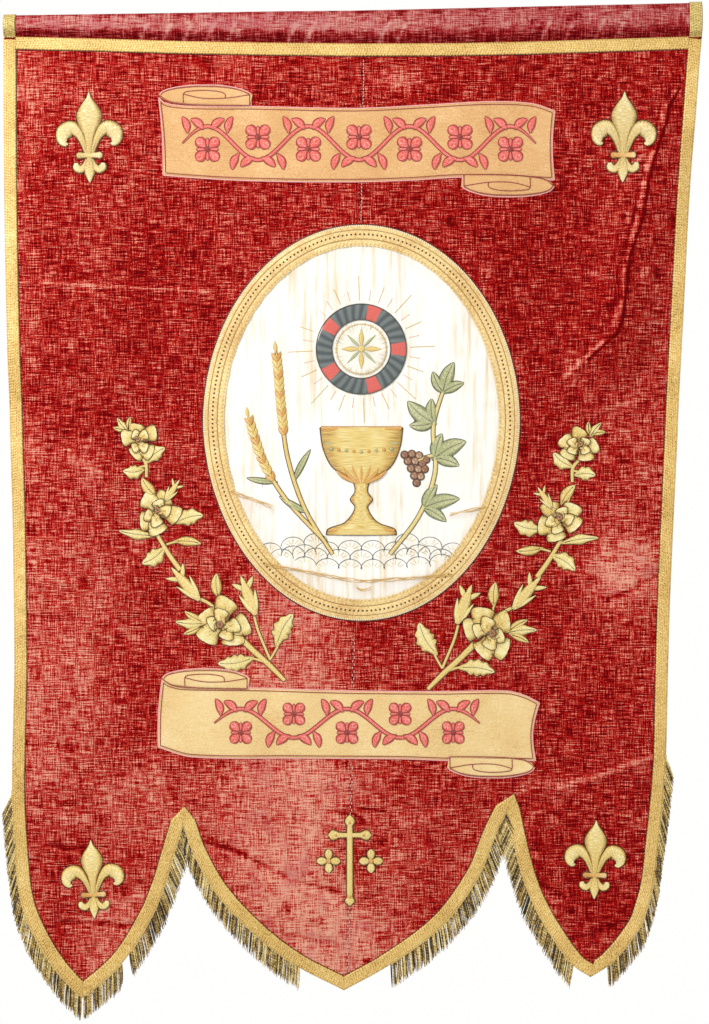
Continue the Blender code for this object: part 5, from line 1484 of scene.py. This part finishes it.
sprays = {
    "upper": {
        "stems": [[(-270, -556, 2.0), (-262, -566, 2.4), (-261, -584, 2.0)],
                  [(-276, -574, 1.5), (-268, -571, 1.6), (-262, -570, 1.6)]],
        "rose": (-269, -539, 20.5, 100),
        "leaves": [(-259, -564, 27, 9.5, 38, 3), (-266, -575, 24, 9.0, 182, 3), (-284, -527, 22, 4.6, 128, 2),
                   (-286, -524, 17, 3.8, 172, 0), (-283, -524, 16, 3.6, 84, 0)],
        "buds": [],
    },
    "middle": {
        "stems": [[(-263, -588, 2.0), (-258, -604, 1.8), (-254, -616, 1.8)],
                  [(-252, -648, 2.6), (-243, -664, 2.6), (-232, -682, 3.2), (-219, -700, 3.4)],
                  [(-236, -668, 1.5), (-224, -665, 1.5), (-212, -667, 1.3)]],
        "rose": (-247, -629, 24, 60),
        "leaves": [(-250, -607, 28, 7.0, 127, 0), (-222, -640, 33, 10.5, 14, 3), (-252, -657, 44, 6.2, 172, 2),
                   (-224, -664, 32, 6.0, -6, 0), (-240, -674, 32, 10.5, 214, 3)],
        "buds": [(-237, -613, 30, 4.6, 56, 3)],
    },
    "lower": {
        "stems": [
            [(-197, -735, 2.4), (-184, -741, 2.2), (-172, -750, 2.2)],
            [(-146, -782, 4.2), (-128, -800, 3.8), (-108, -818, 3.6), (-88, -838, 2.6)],
            [(-126, -758, 1.9), (-121, -776, 1.9), (-112, -798, 1.9), (-106, -812, 1.9)],
            [(-168, -752, 1.5), (-169, -742, 1.5), (-171, -732, 1.3)],
            [(-106, -812, 1.6), (-98, -798, 1.6), (-94, -790, 1.4)],
            [(-106, -818, 1.6), (-122, -812, 1.7), (-132, -810, 1.5)]],
        "rose": (-164, -768, 28.5, 150),
        "leaves": [(-190, -767, 35, 6.5, 176, 2), (-190, -765, 27, 5.0, 150, 0), (-192, -770, 25, 4.6, 204, 0),
                   (-171, -733, 29, 7.0, 94, 0), (-97, -792, 42, 12.0, 62, 4), (-130, -811, 42, 10.5, 188, 4)],
        "buds": [(-196, -736, 50, 7.6, 131, 3), (-125, -754, 48, 8.6, 111, 3)],
    },
}
sprayMirror = {"upper": (11.0, -6.0), "middle": (9.0, -9.0), "lower": (3.0, -11.0)}


def roseParts(x, z, radius, turn, base, mirror):
    made = []
    start = math.radians(turn)

    def petal(a, near, reach, half, up, look, tone, bow):
        c, s = math.cos(a) * mirror, math.sin(a)
        rows = []
        for t, w in ((0, 0.30), (0.25, 0.60), (0.50, 0.84), (0.74, 1.0), (0.88, 1.02), (0.96, 0.80), (1.0, 0.45)):
            along, side = near + (reach - near) * t, bow * half * math.sin(t * math.pi)
            rows.append((x + c * along - s * side, z + s * along + c * side, half * w))
        made.append(stroke(rows, base + up, 0.8, look, 8, 1.5, tone, split=0.4, paintedShadeToTip=1.3))
        made.append(rimCord(rows, 1.3, 0.1, base + up + 0.95, 0.42, "outline"))
        for lean in (-0.26, -0.08, 0.10, 0.28):  # shading stitches at the petal's foot
            c2, s2 = math.cos(a + lean) * mirror, math.sin(a + lean)
            shading = [near + (reach - near) * t for t in (0.40, 0.74 - abs(lean) * 0.5)]
            made.append(cord([(x + c2 * r, z + s2 * r) for r in shading], base + up + 1.05, 0.36, "amber", 4, 2.0))

    for i in range(5):  # open petals, then the folded heart set to one side
        reach = radius * (1.08 + 0.08 * math.sin(i * 2.1))
        petal(start + i * math.tau / 5, radius * 0.06, reach, radius * 0.50, 0.35 * i, "pale" if i % 2 else "gold",
              0.12 * ((i % 3) - 1), 0.25 * (-1) ** i)
    for i in range(4):
        petal(start + 0.6 + i * math.tau / 4, -radius * 0.02, radius * 0.66, radius * 0.33, 1.7 + 0.3 * i,
              "gold" if i % 2 else "pale", 0.1 * (i % 2), -0.3 * (-1) ** i)
    a = start + 0.5
    cx, cz = x + math.cos(a) * mirror * radius * 0.16, z + math.sin(a) * radius * 0.16
    made.append(roundPatch(cx, cz, radius * 0.20, base + 3.0, 0.7, "brown", -0.2, 18, 4))
    for k in range(4):
        t0 = start + k * math.pi / 2
        line = [(cx + radius * (0.18 + 0.06 * j) * math.cos(t0 + j * 0.55),
                 cz + radius * (0.18 + 0.06 * j) * math.sin(t0 + j * 0.55)) for j in range(4)]
        made.append(cord(line, base + 4.0 - 0.2 * k, 0.36, "outline", 5, 1.4))
    for k in range(9):
        knot = cx + radius * 0.10 * math.cos(k * 0.7 * 2), cz + radius * 0.12 * math.sin(k * 0.7)
        made.append(roundPatch(*knot, 1.1, base + 3.6, 0.4, "amber", 0.0, 8, 2))
    return made


for group, shapes in sprays.items():
    both, drop = sprayMirror[group]
    for side, way in (("left", 1), ("right", -1)):
        def put(x, z):
            return (x, z) if way > 0 else (both - x, z + drop)

        def turned(angle):
            return angle if way > 0 else 180 - angle

        parts = []
        for rows in shapes["stems"]:
            parts += stemParts([(*put(x, z), half) for x, z, half in rows], onVelvet, "gold", "outline", 1.5)
        for x, z, length, half, angle, teeth in shapes["leaves"]:
            look, tone = ("pale", 0.1) if teeth else ("gold", 0.0)
            parts += leafParts(*put(x, z), length, half, turned(angle), onVelvet, look, 1.7, "outline", teeth,
                               "outline", tone)
        for x, z, length, half, angle, prongs in shapes["buds"]:
            parts += budParts(*put(x, z), length, half, turned(angle), onVelvet, prongs)
        x, z, radius, turn = shapes["rose"]
        parts += roseParts(*put(x, z), radius, turn, onVelvet + 0.2, way)
        name = "spray_" + group + "_" + side
        shown[name] = assemble(name + "_satin", parts, ["gold", "pale", "brown", "outline", "amber"],
                               [name])
print("roses stitched")


# Cross and the two ornaments beside it

cross = [
    [(-6.5, -1006.5, 0.6), (-6.5, -1010.5, 5.4), (-6.5, -1015.5, 6.6), (-6.5, -1020, 3.6), (-6.5, -1025, 4.0),
     (-6.5, -1070, 4.0), (-6.5, -1103, 4.2), (-6.5, -1109, 3.8), (-6.5, -1114.5, 6.8), (-6.5, -1120, 1.0)],
    [(-33.5, -1031.5, 0.6), (-29, -1031.5, 6.6), (-24, -1031.5, 5.8), (-20, -1031.5, 3.6), (7, -1031.5, 3.6),
     (11, -1031.5, 5.8), (16, -1031.5, 6.6), (20.5, -1031.5, 0.6)],
]
parts = []
for i, rows in enumerate(cross):
    parts.append(stroke(rows, onVelvet, 1.5, "gold", 8, 1.2, 0.1, rim=0.9 + 0.1 * i))
    parts.append(rimCord(rows, 1.4, 0.3, cloth["velvetFront"] + 0.4, 0.5, "outline", 1.8))
    for end in (rows[2][:2], rows[-3][:2]):
        parts.append(roundPatch(*end, 2.2, onVelvet + 2.0, 0.8, "amber", 0.2, 12, 3))
shown["cross"] = assemble("crossSatin", parts, ["gold", "outline", "amber"], ["cross"])
for name, x, z in (("quatrefoil_left", -33.0, -1064.0), ("quatrefoil_right", 20.0, -1064.0)):
    parts = []
    for i in range(4):
        a = i * math.pi / 2
        rows = rayRows(x, z, math.cos(a), math.sin(a), ((1.5, 1.6), (6.5, 4.8), (11, 5.0), (14.6, 1.6)))
        parts.append(stroke(rows, onVelvet, 1.6, "gold", 10, 1.2, 0.1 * i, rim=0.6, split=0.4))
        parts.append(rimCord(rows, 1.4, 0.3, cloth["velvetFront"] + 0.4, 0.5, "outline", 1.8))
    parts.append(roundPatch(x, z, 3.2, onVelvet + 1.4, 1.0, "amber", 0.2, 14, 3))
    shown[name] = assemble(name + "_satin", parts, ["gold", "outline", "amber"], [name])
print("cross stitched")


# Stitches down the middle seam

stitches = {"pitch": 4.4, "long": 2.6, "radius": 0.5}
parts = []
mend = random.Random(3)
for start, stop in ((-62, -118), (-216, -262), (-786, -846), (-942, -1004), (-1122, -1205)):
    for z in np.arange(start, stop, -stitches["pitch"]):
        crossed = (0.9 if len(parts) % 2 else -0.9) * (z < -700)  # herringbone below, running stitch above
        x = seamX(z) + crossed + mend.uniform(-0.3, 0.3)
        slant = mend.uniform(-0.8, 0.8)
        stitch = [(x - slant / 2, z), (x + slant / 2, z - stitches["long"])]
        parts.append(cord(stitch, cloth["velvetFront"] - 0.35, stitches["radius"], "seam", 5, 1.1))
shown["seamStitches"] = assemble("seamStitches", parts, ["seam"])
print("seam stitched")


# Cut sizes of the two ribbon cloths, width and length in metres; the loop only looks each ribbon up and uses neither

for name, width, length in (("upper", 0.495, 0.092), ("lower", 0.475, 0.086)):
    shown["ribbon_" + name]


# Studio: pale floor, soft light, camera straight on

studio = {"floorZ": -2.1, "floorSize": 5.0, "world": 1.0, "keyPower": 58, "fillPower": 16, "lens": 85, "sensor": 36,
          "frameHigh": 1.28, "centreX": -0.0006, "centreZ": -0.6275}
bpy.ops.mesh.primitive_plane_add(size=studio["floorSize"], location=(0, 0, studio["floorZ"]))
floor = bpy.context.object
floor.name = "floor"
floorLook = Look("paleFloor", Roughness=0.8)
floorStops = [(0.3, (0.78, 0.77, 0.75)), (0.7, (0.84, 0.83, 0.81))]
floorLook.colour(floorLook.ramp(floorLook.noise(6, detail=3.0), floorStops))
floor.data.materials.append(floorLook.material)
bpy.ops.object.transform_apply(location=True, rotation=False, scale=False)

world = bpy.data.worlds.new("studio")
bpy.context.scene.world = world
world.use_nodes = True
world.node_tree.nodes["Background"].inputs["Color"].default_value = (1.0, 0.995, 0.985, 1)
world.node_tree.nodes["Background"].inputs["Strength"].default_value = studio["world"]


def lamp(name, place, aim, size, power):
    bpy.ops.object.light_add(type="AREA", location=place)
    light = bpy.context.object
    light.name = name
    light.data.size = size
    light.data.energy = power
    light.rotation_euler = (Vector(aim) - Vector(place)).to_track_quat("-Z", "Y").to_euler()
    return light


lamp("keyLight", (-1.5, -1.5, 0.75), (0, 0, -0.6), 0.7, studio["keyPower"])
lamp("fillLight", (1.6, -2.2, -0.4), (0, 0, -0.6), 1.2, studio["fillPower"])
distance = studio["frameHigh"] * studio["lens"] / studio["sensor"]
bpy.ops.object.camera_add(location=(studio["centreX"], -distance - 0.003, studio["centreZ"]),
                          rotation=(math.pi / 2, 0, 0))
camera = bpy.context.object
camera.data.lens = studio["lens"]
camera.data.sensor_fit = "VERTICAL"
camera.data.sensor_height = studio["sensor"]
camera.data.clip_end = 50
bpy.context.scene.camera = camera
bpy.context.scene.view_settings.view_transform = "Standard"
bpy.context.scene.view_settings.look = "None"
print("studio lit")
